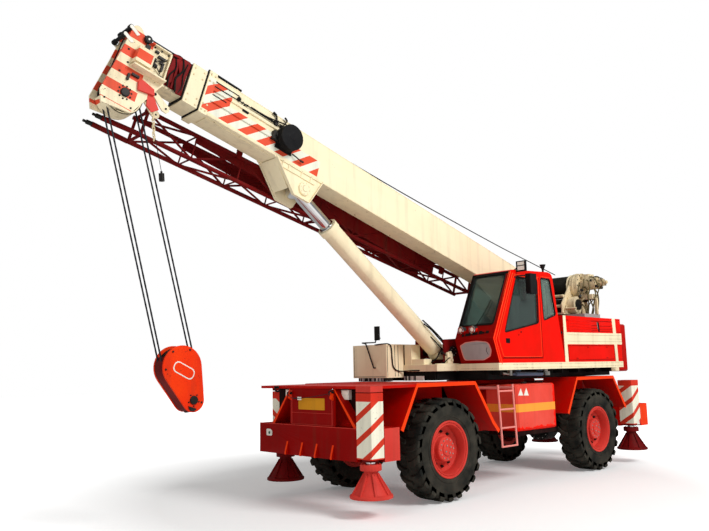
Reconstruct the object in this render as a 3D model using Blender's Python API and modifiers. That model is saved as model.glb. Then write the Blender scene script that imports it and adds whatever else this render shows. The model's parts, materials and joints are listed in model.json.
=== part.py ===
"""Two-axle rough-terrain crane with a three-section box boom, a stowed lattice jib and four outriggers.

Metres. +X is the driving direction, +Y the cab's side, +Z up. Every size below is measured from the
point on the ground midway between the axles, and the whole crane is then set so that the middle of
its length is at the origin.
"""
import math

import bmesh
import bpy
from mathutils import Matrix, Vector

# Driving dimensions
AXLE_MIDPOINT_X = -1.454         # where the axles' midpoint lies in the finished frame
GAP = 0.0003                     # left between pieces that touch
HALF_WIDTH = 1.25
WHEELBASE = 4.30
TYRE_RADIUS = 0.745
TYRE_WIDTH = 0.43
TYRE_BEAD_RADIUS = 0.402
TREAD_RADIUS = 0.715             # at the bottom of the grooves
LUGS_A_SIDE = 20
LUG_STEP = math.pi / LUGS_A_SIDE  # from one lug to the next on the other side
RIM_RADIUS = 0.399
WHEEL_Y = 1.005
KINGPIN_Y = 0.80
AXLE_Z = TYRE_RADIUS
FRAME_HALF_WIDTH = 0.40
DECK_Z = 1.716
SLEW_X = -0.35
SLEW_RADIUS = 0.62
TURRET_Z = (1.874, 1.988)        # underside and top of the turret's deck
TURRET_X = (-3.203, 0.916)       # rear and front of the deck on the cab's side
SIDE_PLATE_Y = (0.29, 0.33)      # inner and outer face of the plates that carry the boom
CAB_Y = (0.473, 1.25)
CAB_WALL = 0.045
MIRROR_Y = 1.45                  # outer face of both mirrors
BOOM_PIVOT = Vector((-1.55, 0.0, 3.34))
BOOM_ELEVATION = math.radians(16.87)
BOOM_BOTTOM = -0.213             # the base section's underside, measured square to the boom
LIFT_FOOT = Vector((0.95, 0.0, 2.20))
LIFT_EYE_ON_BOOM = (5.69, -0.45)
SHEAVE_ON_BOOM = (8.57, -0.51)
PIN_RADIUS = 0.055
HEAD_SHEAVE_RADIUS = 0.235
FALL_LEAN = math.radians(14.6)   # how far the hook is drawn back from plumb
FALL_LENGTH = 3.45
BLOCK_LEAN = math.radians(21.0)

FRONT_TUBES_X = ((3.552, 3.786), (3.252, 3.546))     # the cab side's beam runs in the first tube
REAR_TUBES_X = ((-3.754, -3.460), (-4.060, -3.760))
TUBE_Z = (0.702, 1.139)
TUBE_WALL = 0.025
JACK_Z = (0.742, 1.612)
JACK_Y = (0.96, 1.25)
PAD_RADIUS = 0.29
PAD_Z = 0.25

COLOURS = {
    "carrier_red": (0.55, 0.02, 0.01, 0.5, 0.0),
    "cab_red": (0.85, 0.06, 0.01, 0.4, 0.0),
    "cream": (0.86, 0.78, 0.55, 0.5, 0.0),
    "rim_red": (0.55, 0.10, 0.08, 0.5, 0.0),
    "tyre_black": (0.02, 0.02, 0.02, 0.9, 0.0),
    "dark_steel": (0.05, 0.05, 0.055, 0.5, 0.4),
    "chrome": (0.75, 0.75, 0.76, 0.15, 1.0),
    "jib_red": (0.30, 0.03, 0.03, 0.6, 0.0),
    "hook_red": (0.80, 0.10, 0.03, 0.5, 0.0),
    "glass": (0.05, 0.08, 0.07, 0.05, 0.0),
    "black_plastic": (0.02, 0.02, 0.02, 0.6, 0.0),
}


def clear_scene():
    for ob in list(bpy.data.objects):
        bpy.data.objects.remove(ob, do_unlink=True)


def new_collection(name):
    found = bpy.data.collections.new(name)
    bpy.context.scene.collection.children.link(found)
    return found


def make_material(name):
    red, green, blue, roughness, metallic = COLOURS[name]
    material = bpy.data.materials.new(name)
    material.use_nodes = True
    shader = material.node_tree.nodes["Principled BSDF"]
    shader.inputs["Base Color"].default_value = (red, green, blue, 1.0)
    shader.inputs["Roughness"].default_value = roughness
    shader.inputs["Metallic"].default_value = metallic
    return material


def make_empty(name, location, parent=None, tilt=0.0):
    """An axis that pieces hang on, tilted up by an angle about the crane's left-right axis."""
    empty = bpy.data.objects.new(name, None)
    empty.location = location
    empty.rotation_euler = (0.0, -tilt, 0.0)
    empty.parent = parent
    parts.objects.link(empty)
    return empty


def put(name, mesh, collection, frame):
    ob = bpy.data.objects.new(name, mesh)
    ob.parent = frame
    collection.objects.link(ob)
    if collection is cutters:
        ob.hide_render = True
        ob.display_type = "WIRE"
    return ob


def block(x, y, z, frame=None):
    """A box between two limits on each axis."""
    form = bmesh.new()
    bmesh.ops.create_cube(form, size=1.0)
    size = Vector((x[1] - x[0], y[1] - y[0], z[1] - z[0]))
    middle = Vector((x[1] + x[0], y[1] + y[0], z[1] + z[0])) / 2
    bmesh.ops.scale(form, vec=size, verts=form.verts)
    bmesh.ops.translate(form, vec=middle, verts=form.verts)
    return finish_form(form, frame)


def drum(radius, start, end, segments=24, radius_end=None, frame=None):
    """A cylinder or cone between two points."""
    start = Vector(start)
    end = Vector(end)
    form = bmesh.new()
    bmesh.ops.create_cone(form, cap_ends=True, cap_tris=False, segments=segments, radius1=radius,
                          radius2=radius if radius_end is None else radius_end,
                          depth=(end - start).length)
    turn = Vector((0, 0, 1)).rotation_difference(end - start).to_matrix().to_4x4()
    bmesh.ops.transform(form, matrix=Matrix.Translation((start + end) / 2) @ turn, verts=form.verts)
    return finish_form(form, frame)


def finish_form(form, frame):
    mesh = bpy.data.meshes.new("piece")
    form.to_mesh(mesh)
    form.free()
    return put("piece", mesh, cutters, frame or axle_midpoint)


def curve_to_mesh(curve, matrix, frame):
    """Turns a curve object into a welded mesh in the frame's own coordinates."""
    ob = bpy.data.objects.new("curve", curve)
    cutters.objects.link(ob)
    bpy.context.view_layer.update()
    evaluated = ob.evaluated_get(bpy.context.evaluated_depsgraph_get())
    mesh = bpy.data.meshes.new_from_object(evaluated)
    bpy.data.objects.remove(ob, do_unlink=True)
    form = bmesh.new()
    form.from_mesh(mesh)
    bmesh.ops.remove_doubles(form, verts=form.verts, dist=0.00005)
    bmesh.ops.transform(form, matrix=matrix, verts=form.verts)
    bmesh.ops.recalc_face_normals(form, faces=form.faces)
    form.to_mesh(mesh)
    form.free()
    return put("piece", mesh, cutters, frame or axle_midpoint)


PLANES = {
    "XZ": Matrix(((1, 0, 0, 0), (0, 0, -1, 0), (0, 1, 0, 0), (0, 0, 0, 1))),
    "YZ": Matrix(((0, 0, 1, 0), (1, 0, 0, 0), (0, 1, 0, 0), (0, 0, 0, 1))),
    "XY": Matrix.Identity(4),
}


def plate(plane, outline, low, high, frame=None):
    """A flat outline in one plane, thick from low to high along the axis square to it."""
    curve = bpy.data.curves.new("outline", "CURVE")
    curve.dimensions = "2D"
    curve.fill_mode = "BOTH"
    curve.extrude = (high - low) / 2
    spline = curve.splines.new("POLY")
    spline.points.add(len(outline) - 1)
    for point, (a, b) in zip(spline.points, outline):
        point.co = (a, b, 0.0, 1.0)
    spline.use_cyclic_u = True
    middle = (high + low) / 2
    offset = {"XZ": (0, middle, 0), "YZ": (middle, 0, 0), "XY": (0, 0, middle)}[plane]
    return curve_to_mesh(curve, Matrix.Translation(offset) @ PLANES[plane], frame)


def rod(points, radius, resolution=2, frame=None):
    """A round bar through a list of points."""
    curve = bpy.data.curves.new("rod", "CURVE")
    curve.dimensions = "3D"
    curve.bevel_depth = radius
    curve.bevel_resolution = resolution
    curve.use_fill_caps = True
    spline = curve.splines.new("POLY")
    spline.points.add(len(points) - 1)
    for point, co in zip(spline.points, points):
        point.co = (*co, 1.0)
    return curve_to_mesh(curve, Matrix.Identity(4), frame)


def turned(profile, centre, axis, steps, frame=None):
    """Spins a closed profile of (radius, distance along the axis) about an axis through a point."""
    mesh = bpy.data.meshes.new("profile")
    count = len(profile)
    mesh.from_pydata([(r, 0.0, a) for r, a in profile], [(i, (i + 1) % count) for i in range(count)], [])
    ob = bpy.data.objects.new("turned", mesh)
    cutters.objects.link(ob)
    screw = ob.modifiers.new("spin", "SCREW")
    screw.axis = "Z"
    screw.steps = steps
    screw.render_steps = steps
    screw.use_merge_vertices = True
    screw.merge_threshold = 0.00005
    bpy.context.view_layer.update()
    evaluated = ob.evaluated_get(bpy.context.evaluated_depsgraph_get())
    spun = bpy.data.meshes.new_from_object(evaluated)
    bpy.data.objects.remove(ob, do_unlink=True)
    form = bmesh.new()
    form.from_mesh(spun)
    bmesh.ops.remove_doubles(form, verts=form.verts, dist=0.00005)
    turn = Vector((0, 0, 1)).rotation_difference(Vector(axis)).to_matrix().to_4x4()
    bmesh.ops.transform(form, matrix=Matrix.Translation(centre) @ turn, verts=form.verts)
    bmesh.ops.recalc_face_normals(form, faces=form.faces)
    form.to_mesh(spun)
    form.free()
    return put("piece", spun, cutters, frame or axle_midpoint)


def node(name, material, base, joined=(), cut=(), origin=(0, 0, 0), bevel=0.0):
    """Makes one named sub-part from a base form, forms joined to it and forms cut from it."""
    base.name = name
    base.data.name = name
    cutters.objects.unlink(base)
    parts.objects.link(base)
    base.hide_render = False
    base.display_type = "TEXTURED"
    base.data.transform(Matrix.Translation(-Vector(origin)))
    base.location = Vector(origin)
    base.data.materials.clear()
    base.data.materials.append(materials[material])
    for operation, forms in (("UNION", joined), ("DIFFERENCE", cut)):
        for form in forms:
            form.name = name + "_form"
            boolean = base.modifiers.new(operation.lower(), "BOOLEAN")
            boolean.operation = operation
            boolean.object = form
            boolean.solver = "EXACT"
    if bevel:
        edge = base.modifiers.new("bevel", "BEVEL")
        edge.width = bevel
        edge.segments = 1
        edge.limit_method = "ANGLE"
    return base


def side_name(side):
    return "left" if side > 0 else "right"


def side_span(side, span):
    return tuple(sorted((side * span[0], side * span[1])))


def build_frame():
    rise = 1.05
    belly = 0.85
    base = block((-3.46 + GAP, 3.252 - GAP), (-FRAME_HALF_WIDTH, FRAME_HALF_WIDTH), (rise, 1.62))
    keel = plate("XZ", [(-1.40, rise + 0.04), (-1.16, belly), (1.16, belly), (1.40, rise + 0.04)],
                 0.005 - FRAME_HALF_WIDTH, FRAME_HALF_WIDTH - 0.005)
    pedestal = drum(0.53, (SLEW_X, 0, 1.47), (SLEW_X, 0, 1.68), segments=32)
    flange = drum(0.70, (SLEW_X, 0, 1.645), (SLEW_X, 0, 1.70), segments=40)
    brackets = [block((x - 0.05, x + 0.05), (-0.549, 0.549), (1.20, 1.55)) for x in (0.2, -0.6)]
    node("carrier_frame", "carrier_red", base, [keel, pedestal, flange, *brackets])


def build_outrigger_housing(end, tubes, forms):
    """Two tubes side by side, one open to each side of the crane, and the forms that stand on them."""
    bodies = [block((x0, x1), side_span(side, (-HALF_WIDTH, JACK_Y[0] - 0.001)), TUBE_Z)
              for (x0, x1), side in zip(tubes, (1, -1))]
    bores = [block((x0 + TUBE_WALL, x1 - TUBE_WALL), side_span(side, (-1.20, 1.0)),
                   (TUBE_Z[0] + TUBE_WALL, TUBE_Z[1] - TUBE_WALL))
             for (x0, x1), side in zip(tubes, (1, -1))]
    low, high = sorted(tubes)
    seam = (low[1] + high[0]) / 2
    web = block((seam - 0.022, seam + 0.022), (-0.95, 0.95), TUBE_Z)
    node(end + "_outrigger_housing", "carrier_red", bodies[0], [web, bodies[1], *forms], bores)


def front_housing_forms():
    """The front panel over the beam, its sloped wings, four gussets and two towing lugs."""
    nose = FRONT_TUBES_X[0][1]
    back = FRONT_TUBES_X[1][0]
    top = 1.66
    forms = [block((nose - 0.046, nose - 0.016), (-0.50, 0.50), (TUBE_Z[1] - 0.01, top))]
    for side in (1, -1):
        wing = [(side * a, b) for a, b in ((0.485, top), (0.515, top), (0.945, 1.15), (0.945, 1.13), (0.90, 1.13))]
        forms.append(plate("YZ", wing, nose - 0.30, nose - 0.017))
        forms.append(plate("XZ", [(nose - 0.04, 1.49), (nose + 0.035, 1.53), (nose + 0.035, 1.62),
                                  (nose - 0.04, 1.65)], *side_span(side, (0.46, 0.49))))
    for y in (-0.55, -0.20, 0.13, 0.48):
        forms.append(plate("XZ", [(nose - 0.01, 0.93), (nose + 0.045, 0.74), (nose + 0.045, 0.705),
                                  (nose - 0.01, 0.705)], y - 0.018, y + 0.018))
    forms.append(block((back + 0.01, nose - 0.03), (-0.40, 0.40), (TUBE_Z[1] - 0.01, 1.60)))
    return forms


def rear_housing_forms():
    nose = REAR_TUBES_X[1][0]
    return [block((nose + 0.02, REAR_TUBES_X[0][1] - 0.01), (-0.40, 0.40), (TUBE_Z[1] - 0.01, 1.60)),
            plate("YZ", [(-0.90, 1.13), (-0.50, 1.55), (0.50, 1.55), (0.90, 1.13)], nose + 0.002, nose + 0.04)]


def build_outriggers(end, tubes):
    for (x0, x1), side in zip(tubes, (1, -1)):
        name = side_name(side) + "_" + end
        clear = TUBE_WALL + 0.006
        middle = (x0 + x1) / 2
        beam = block((x0 + clear, x1 - clear), side_span(side, (-0.95, JACK_Y[0] + 0.01)),
                     (TUBE_Z[0] + clear, TUBE_Z[1] - clear))
        jack = block((x0, x1), side_span(side, JACK_Y), JACK_Z)
        bore = drum(0.072, (middle, side * 1.105, 0.5), (middle, side * 1.105, 1.55), segments=20)
        node(name + "_outrigger_beam", "carrier_red", beam, [jack], [bore],
             origin=(middle, side * 1.105, TUBE_Z[0]))
        leg = drum(0.065, (middle, side * 1.105, PAD_Z + 0.10), (middle, side * 1.105, 1.50), segments=20)
        cone = drum(0.26, (middle, side * 1.105, PAD_Z + 0.03), (middle, side * 1.105, PAD_Z + 0.27), 24, 0.10)
        neck = drum(0.095, (middle, side * 1.105, PAD_Z + 0.25), (middle, side * 1.105, PAD_Z + 0.36), 24)
        collar = drum(0.145, (middle, side * 1.105, PAD_Z + 0.35), (middle, side * 1.105, PAD_Z + 0.43), 24)
        pad = drum(PAD_RADIUS, (middle, side * 1.105, PAD_Z), (middle, side * 1.105, PAD_Z + 0.04), 28)
        node(name + "_jack_foot", "carrier_red", leg, [cone, neck, collar, pad],
             origin=(middle, side * 1.105, PAD_Z))


def build_decks():
    """The flat plates over the wheels with their sloped ends, and the deck between them."""
    thick = 0.03
    for name, outline in (
            ("front_deck", [(3.222, 1.099), (2.869, DECK_Z), (1.539, DECK_Z), (1.105, 1.09), (0.97, 0.946)]),
            ("rear_deck", [(-1.042, 1.10), (-1.414, DECK_Z), (-2.762, DECK_Z), (-3.203, 1.111)])):
        sheet = strip_outline(outline, thick)
        left = plate("XZ", sheet, 0.56, HALF_WIDTH)
        right = plate("XZ", sheet, -HALF_WIDTH, -0.56)
        flat = (outline[1][0], outline[2][0])
        span = (min(flat), max(flat))
        middle = block((min(span) + 0.01, max(span) - 0.01), (-0.62, 0.62), (DECK_Z - 0.025, DECK_Z - 0.003))
        apron = block((2.80, 3.765), (0.006 - HALF_WIDTH, HALF_WIDTH - 0.006), (DECK_Z - 0.05, DECK_Z - 0.011))
        walls = [block((min(span) + 0.03, max(span) - 0.03), side_span(side, (0.572, 0.592)), (1.45, DECK_Z - 0.014))
                 for side in (1, -1)]
        node(name, "carrier_red", left, [middle, right, *walls, *([apron] if name == "front_deck" else [])])


def strip_outline(line, thick):
    """The outline of a bent sheet whose outer face follows a line of points."""
    inner = []
    for i, point in enumerate(line):
        here = Vector(point)
        before = (here - Vector(line[i - 1])).normalized() if i else None
        after = (Vector(line[i + 1]) - here).normalized() if i + 1 < len(line) else None
        along = [d for d in (before, after) if d is not None]
        normals = [Vector((d.y, -d.x)) for d in along]
        if line[0][0] > line[-1][0]:
            normals = [-n for n in normals]
        mean = sum(normals, Vector((0, 0)))
        mean.normalize()
        inner.append(here + mean * thick / max(0.3, mean.dot(normals[0])))
    return [tuple(p) for p in line] + [tuple(p) for p in reversed(inner)]


def build_tanks_and_ladder():
    for side in (1, -1):
        base = block((-0.760, 0.397), side_span(side, (0.55, 1.20)), (0.871, 1.633))
        node(side_name(side) + "_side_tank", "cream", base, bevel=0.03)
    top, foot, step = 1.64, 0.66, 0.29
    rails = [drum(0.017, (x, 1.20, top), (x - 0.05, 1.20, foot), 8) for x in (0.907, 0.509)]
    rungs = [drum(0.015, (0.49 - 0.015 * i, 1.20, 1.54 - step * i), (0.90 - 0.015 * i, 1.20, 1.54 - step * i), 6)
             for i in range(4)]
    hangers = [drum(0.02, (x, 1.205, 1.59), (x, FRAME_HALF_WIDTH + 0.001, 1.59), 6) for x in (0.90, 0.508)]
    node("left_ladder", "dark_steel", rails[0], [*rungs, rails[1], *hangers])


def build_axles():
    for end, sign in (("front", 1), ("rear", -1)):
        x = sign * WHEELBASE / 2
        beam = drum(0.11, (x, -0.67, AXLE_Z), (x, 0.67, AXLE_Z), 16)
        bowl = drum(0.26, (x - 0.17, 0, AXLE_Z), (x + 0.17, 0, AXLE_Z), 20)
        nose = drum(0.20, (x - sign * 0.16, 0, AXLE_Z), (x - sign * 0.42, 0, AXLE_Z + 0.03), 16, 0.09)
        forms = [bowl, nose]
        for side in (1, -1):
            forms.append(block((x - 0.13, x + 0.13), side_span(side, (0.24, 0.38)), (AXLE_Z, 1.05 - GAP)))
            forms.append(block((x - 0.09, x + 0.09), side_span(side, (0.60, 0.69)), (AXLE_Z - 0.25, AXLE_Z + 0.25)))
            for z in (AXLE_Z - 0.25, AXLE_Z + 0.20):
                forms.append(block((x - 0.09, x + 0.09), side_span(side, (0.60, 0.87)), (z, z + 0.05)))
        node(end + "_axle", "dark_steel", beam, forms)


def build_wheels():
    for end, sign in (("front", 1), ("rear", -1)):
        for side in (1, -1):
            x = sign * WHEELBASE / 2
            hub = Vector((x, side * WHEEL_Y, AXLE_Z))
            pin = Vector((x, side * KINGPIN_Y, AXLE_Z))
            name = side_name(side) + "_" + end
            carrier = drum(0.155, (x, side * 0.76, AXLE_Z), (x, side * 0.93, AXLE_Z), 20)
            kingpin = drum(0.06, (x, side * KINGPIN_Y, AXLE_Z - 0.199), (x, side * KINGPIN_Y, AXLE_Z + 0.199), 16)
            stub = drum(0.075, (x, side * 0.9, AXLE_Z), (x, side * 1.02, AXLE_Z), 20)
            node(name + "_knuckle", "dark_steel", carrier, [kingpin, stub], origin=pin)
            node(name + "_rim", "rim_red", turned(rim_profile(), hub, (0, side, 0), 24), origin=hub)
            tyre = turned(tyre_profile(), hub, (0, side, 0), 2 * LUGS_A_SIDE)
            stand_flat(tyre, hub)
            raise_lugs(tyre, hub)
            node(name + "_tyre", "tyre_black", tyre, origin=hub)


def rim_profile():
    """Radius and distance outward from the wheel's middle, for the rim, its dish and its hub."""
    wide = 0.185
    inner = 0.352
    return [(0.078, 0.0), (0.16, -0.02), (0.31, 0.03), (inner, 0.03), (inner, -wide), (RIM_RADIUS, -wide),
            (RIM_RADIUS, wide), (inner + 0.01, wide), (inner, 0.07), (0.30, 0.06), (0.20, 0.09), (0.17, 0.15),
            (0.078, 0.15)]


def tyre_profile():
    """Radius and distance outward from the wheel's middle, with the two bands that carry lugs."""
    half = TYRE_WIDTH / 2
    bead = TYRE_BEAD_RADIUS
    band = half - 0.035
    return [(bead, -0.17), (bead + 0.09, -half), (0.62, -half), (TREAD_RADIUS - 0.01, -band), (TREAD_RADIUS, -0.03),
            (TREAD_RADIUS, 0.03), (TREAD_RADIUS - 0.01, band), (0.62, half), (bead + 0.09, half), (bead, 0.17)]


def stand_flat(tyre, hub):
    """Turns the tyre by half a facet, so that it stands on a flat and not on a corner."""
    turn = Matrix.Rotation(LUG_STEP / 2, 4, "Y")
    tyre.data.transform(Matrix.Translation(hub) @ turn @ Matrix.Translation(-hub))


def raise_lugs(tyre, hub):
    """Lifts every second facet of the tread's two bands out to the tyre's full radius, staggered."""
    corner_radius = TYRE_RADIUS / math.cos(LUG_STEP / 2)
    form = bmesh.new()
    form.from_mesh(tyre.data)
    form.faces.ensure_lookup_table()
    chosen = []
    for face in form.faces:
        middle = face.calc_center_median() - hub
        across = middle.y
        radius = math.hypot(middle.x, middle.z)
        if radius < 0.70 or abs(across) < 0.04:
            continue
        facet = round(math.atan2(middle.z, middle.x) / LUG_STEP)
        if facet % 2 == (1 if across > 0 else 0):
            chosen.append(face)
    for face in chosen:
        raised = bmesh.ops.extrude_discrete_faces(form, faces=[face])["faces"][0]
        for vert in raised.verts:
            out = vert.co - hub
            radius = math.hypot(out.x, out.z)
            vert.co.x = hub.x + out.x / radius * corner_radius
            vert.co.z = hub.z + out.z / radius * corner_radius
    form.to_mesh(tyre.data)
    form.free()


def build_slewing_ring():
    profile = [(0.45, 1.70 + GAP), (SLEW_RADIUS + 0.05, 1.70 + GAP), (SLEW_RADIUS + 0.05, 1.80),
               (SLEW_RADIUS, 1.80), (SLEW_RADIUS, TURRET_Z[0] - 0.006), (0.45, TURRET_Z[0] - 0.006)]
    node("slewing_ring", "dark_steel", turned(profile, (SLEW_X, 0, 0), (0, 0, 1), 40))


def build_turret():
    deck = block(TURRET_X, (-HALF_WIDTH, HALF_WIDTH), TURRET_Z)
    tongue = block((0.5, 1.44), (-1.17, 0.40), TURRET_Z)
    shelf = block((-3.40, -3.00), (-1.05, 1.05), (1.80, 1.98))
    node("turret_deck", "cream", deck, [tongue, shelf], origin=(SLEW_X, 0, TURRET_Z[0]))
    node("counterweight", "carrier_red", block((-3.80, -3.41), (-1.05, 1.05), (1.79, 2.75)), bevel=0.03)
    floor = TURRET_Z[1] + GAP
    outline = [(1.15, floor), (1.15, 2.40), (0.75, 2.42), (0.30, 2.30), (-0.60, 2.60), (-1.20, 3.40),
               (-1.38, 3.56), (-1.72, 3.56), (-1.90, 3.40), (-2.15, 2.95), (-3.38, 2.95), (-3.38, 2.60),
               (-3.15, floor)]
    for side in (1, -1):
        holes = [drum(PIN_RADIUS + 0.002, place - Vector((0, 0.5, 0)), place + Vector((0, 0.5, 0)), 20)
                 for place in (BOOM_PIVOT, LIFT_FOOT)]
        node(side_name(side) + "_boom_bracket", "carrier_red",
             plate("XZ", outline, *side_span(side, SIDE_PLATE_Y)), [], holes)
    for name, place, half in (("boom_foot_pin", BOOM_PIVOT, 0.37), ("lift_foot_pin", LIFT_FOOT, 0.36)):
        shaft = drum(PIN_RADIUS, place - Vector((0, half, 0)), place + Vector((0, half, 0)), 20)
        caps = [drum(0.09, place + Vector((0, side * (SIDE_PLATE_Y[1] + 0.004), 0)),
                     place + Vector((0, side * (SIDE_PLATE_Y[1] + 0.03), 0)), 20) for side in (1, -1)]
        node(name, "dark_steel", shaft, caps, origin=place)


def build_winch():
    """Two drums one over the other between the winch's side plates, with the gearbox on the cab's side."""
    shelf_z = 2.95 + GAP
    top_middle = Vector((-3.00, 0.0, 3.54))
    low_middle = Vector((-2.72, 0.0, 3.14))
    outline = [(-2.42, shelf_z), (-2.42, 3.16), (-2.70, 3.50), (-2.88, 3.72), (-3.14, 3.72), (-3.32, 3.50),
               (-3.36, shelf_z)]
    tray = block((-3.36, -2.42), (-0.46, 0.46), (shelf_z, shelf_z + 0.03))
    sides = [plate("XZ", outline, *side_span(side, (0.41, 0.44))) for side in (1, -1)]
    ties = [drum(0.03, (x, -0.42, z), (x, 0.42, z), 10) for x, z in ((-3.30, 3.22), (-2.47, 3.12))]
    case = drum(0.26, top_middle + Vector((0, 0.43, 0)), top_middle + Vector((0, 0.60, 0)), 24)
    motor = drum(0.13, top_middle + Vector((0.02, 0.59, 0.03)), top_middle + Vector((0.02, 0.93, 0.03)), 16)
    valve = block((-3.10, -2.88), (0.66, 0.80), (3.60, 3.76))
    low_case = drum(0.17, low_middle + Vector((0, 0.43, 0)), low_middle + Vector((0, 0.62, 0)), 20)
    holes = [drum(0.052, middle - Vector((0, 0.5, 0)), middle + Vector((0, 0.50, 0)), 16)
             for middle in (top_middle, low_middle)]
    node("winch_frame", "cream", tray, [*sides, *ties, case, motor, valve, low_case], holes)
    for name, middle, flange, core in (("winch_drum", top_middle, 0.25, 0.205),
                                       ("auxiliary_winch_drum", low_middle, 0.15, 0.115)):
        def along(radius, start, end, steps=20):
            return drum(radius, middle + Vector((0, start, 0)), middle + Vector((0, end, 0)), steps)
        node(name, "dark_steel", along(core, -0.36, 0.36),
             [along(flange, -0.38, -0.35), along(flange, 0.35, 0.38), along(0.045, -0.45, 0.45, 16)],
             origin=middle)


def build_hoods():
    floor = TURRET_Z[1] + GAP
    base = block((-3.203, -1.08), (0.40, HALF_WIDTH - 0.01), (floor, 2.823))
    inside = block((-3.163, -1.12), (0.44, HALF_WIDTH - 0.05), (floor - 0.1, 2.783))
    louvres = [block((-2.05, -1.25), (HALF_WIDTH - 0.03, HALF_WIDTH), (z, z + 0.022))
               for z in (2.53, 2.58, 2.63, 2.68, 2.73)]
    node("engine_hood", "cab_red", base, louvres, [inside])
    node("engine_block", "dark_steel", block((-2.95, -1.55), (0.50, 1.15), (floor, 2.70)))
    front = block((1.442, 1.85), (-1.17, -0.35), (1.78, 2.34))
    bridge = block((1.30, 1.50), (-1.17, -0.37), (floor, 2.34))
    long = block((-3.15, 1.32), (-1.20, -0.37), (floor, 2.34))
    shoulder = block((1.20, 1.42), (-0.40, -0.18), (floor, 2.33))
    sill = block((1.21, 1.41), (-0.20, 0.09), (floor, 2.08))
    stem = rod([(1.84, -0.62, 1.95), (1.89, -0.62, 1.95), (1.89, -0.80, 2.36), (1.50, -1.30, 2.40),
                (1.06, -1.41, 2.42), (1.02, -1.42, 2.50)], 0.013, 1)
    glass = block((0.995, 1.045), (-MIRROR_Y, -MIRROR_Y + 0.10), (2.46, 2.72))
    node("right_cabinet", "cream", front, [bridge, long, shoulder, sill, stem, glass])


def build_cab():
    low, high = CAB_Y
    floor = TURRET_Z[1] + GAP
    outer = [(0.90, floor), (1.043, 2.383), (0.484, 3.513), (0.42, 3.536), (-0.64, 3.572), (-0.74, 3.556),
             (-0.79, 3.505), (-0.94, 2.65), (-1.068, floor)]
    inner = [(0.85, floor + CAB_WALL), (0.985, 2.39), (0.447, 3.482), (-0.62, 3.522), (-0.70, 3.508),
             (-0.742, 3.46), (-0.892, 2.65), (-1.012, floor + CAB_WALL)]
    shell = plate("XZ", outer, low, high)
    room = plate("XZ", inner, low + CAB_WALL, high - CAB_WALL)
    doorway = plate("XZ", offset_door(0.006), high - CAB_WALL - 0.02, high + 0.02)
    quarter = plate("XZ", [(-0.45, 2.71), (-0.41, 3.45), (-0.70, 3.45), (-0.835, 2.82)], 1.1, 1.3)
    right = plate("XZ", [(0.80, 2.60), (0.42, 3.40), (-0.62, 3.40), (-0.75, 2.70), (-0.75, 2.60)], 0.4, 0.6)
    back = block((-1.1, -0.7), (low + 0.10, high - 0.10), (2.86, 3.38))
    screen = windscreen_form(0.07, 0.2)
    funnel = [drum(0.018, (-0.60, 1.19, 3.54), (-0.60, 1.19, 3.63), 10),
              drum(0.02, (-0.60, 1.19, 3.62), (-0.60, 1.19, 3.71), 16, 0.055)]
    roof_mirror = [rod([(0.38, 1.20, 3.50), (0.305, 1.29, 3.58)], 0.012, 1),
                   block((0.29, 0.32), (1.26, MIRROR_Y), (3.50, 3.68))]
    lamps = [drum(0.055, (0.91, y, 2.54), (1.05, y, 2.54), 16) for y in (0.60, 0.84)]
    node("cab_shell", "cab_red", shell, [*funnel, *roof_mirror, *lamps],
         [room, doorway, quarter, right, back, screen])
    node("windscreen", "glass", windscreen_form(0.07 + GAP * 2, 0.012, 0.02))
    hinge = Vector((-0.372, high + 0.002, 0.0))
    window = [(0.715, 2.48), (0.32, 3.42), (-0.30, 3.42), (-0.28, 2.66)]
    opening = plate("XZ", window, high - 0.2, high + 0.1)
    door = plate("XZ", offset_door(0.0), high - CAB_WALL, high)
    arm = rod([(0.38, high - 0.02, 3.40), (0.32, high + 0.05, 3.43), (0.12, 1.40, 3.45), (0.10, 1.40, 3.40)],
              0.012, 1)
    mirror = block((0.02, 0.20), (MIRROR_Y - 0.10, MIRROR_Y), (3.13, 3.47))
    node("cab_door", "cab_red", door, [arm, mirror], [opening], origin=hinge)
    middle_x, middle_z, shrink = 0.12, 3.0, 0.999
    pane = [(middle_x + (x - middle_x) * shrink, middle_z + (z - middle_z) * shrink) for x, z in window]
    node("door_glass", "glass", plate("XZ", pane, high - 0.03, high - 0.022), origin=hinge)


def offset_door(gap):
    """The door's outline, grown by a gap on its four sides."""
    return [(0.80 + gap, 2.06 - gap), (0.93 + gap, 2.385), (0.405 + gap, 3.45 + gap), (-0.36 - gap, 3.45 + gap),
            (-0.36 - gap, 2.06 - gap)]


def windscreen_form(inset, thick, depth=0.02):
    """A slab in the plane of the windscreen, set in from the front panel's four edges."""
    bottom = Vector((0.96, 0, 2.55))
    top = Vector((0.484, 0, 3.513))
    up = (top - bottom).normalized()
    out = Vector((up.z, 0, -up.x))
    start = bottom + up * inset
    end = top - up * (inset - 0.02)
    shift = -0.01 if thick > 0.1 else -depth
    corners = [start + out * (shift - thick / 2 - 0.0), end + out * (shift - thick / 2),
               end + out * (shift + thick / 2), start + out * (shift + thick / 2)]
    return plate("XZ", [(c.x, c.z) for c in corners], CAB_Y[0] + inset, CAB_Y[1] - inset)


def build_cab_inside():
    floor = TURRET_Z[1] + CAB_WALL + 2 * GAP
    base = block((-0.62, -0.15), (0.66, 1.06), (floor, 2.42))
    cushion = block((-0.66, -0.10), (0.62, 1.10), (2.40, 2.54))
    back = plate("XZ", [(-0.66, 2.5), (-0.54, 2.5), (-0.60, 3.12), (-0.70, 3.12)], 0.62, 1.10)
    node("cab_seat", "black_plastic", base, [cushion, back])
    column = block((0.45, 0.62), (0.72, 1.0), (floor, 2.62))
    wheel = drum(0.19, (0.44, 0.86, 2.66), (0.42, 0.86, 2.685), 20)
    stem = drum(0.03, (0.52, 0.86, 2.55), (0.425, 0.86, 2.68), 12)
    node("cab_console", "black_plastic", column, [stem, wheel])


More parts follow.
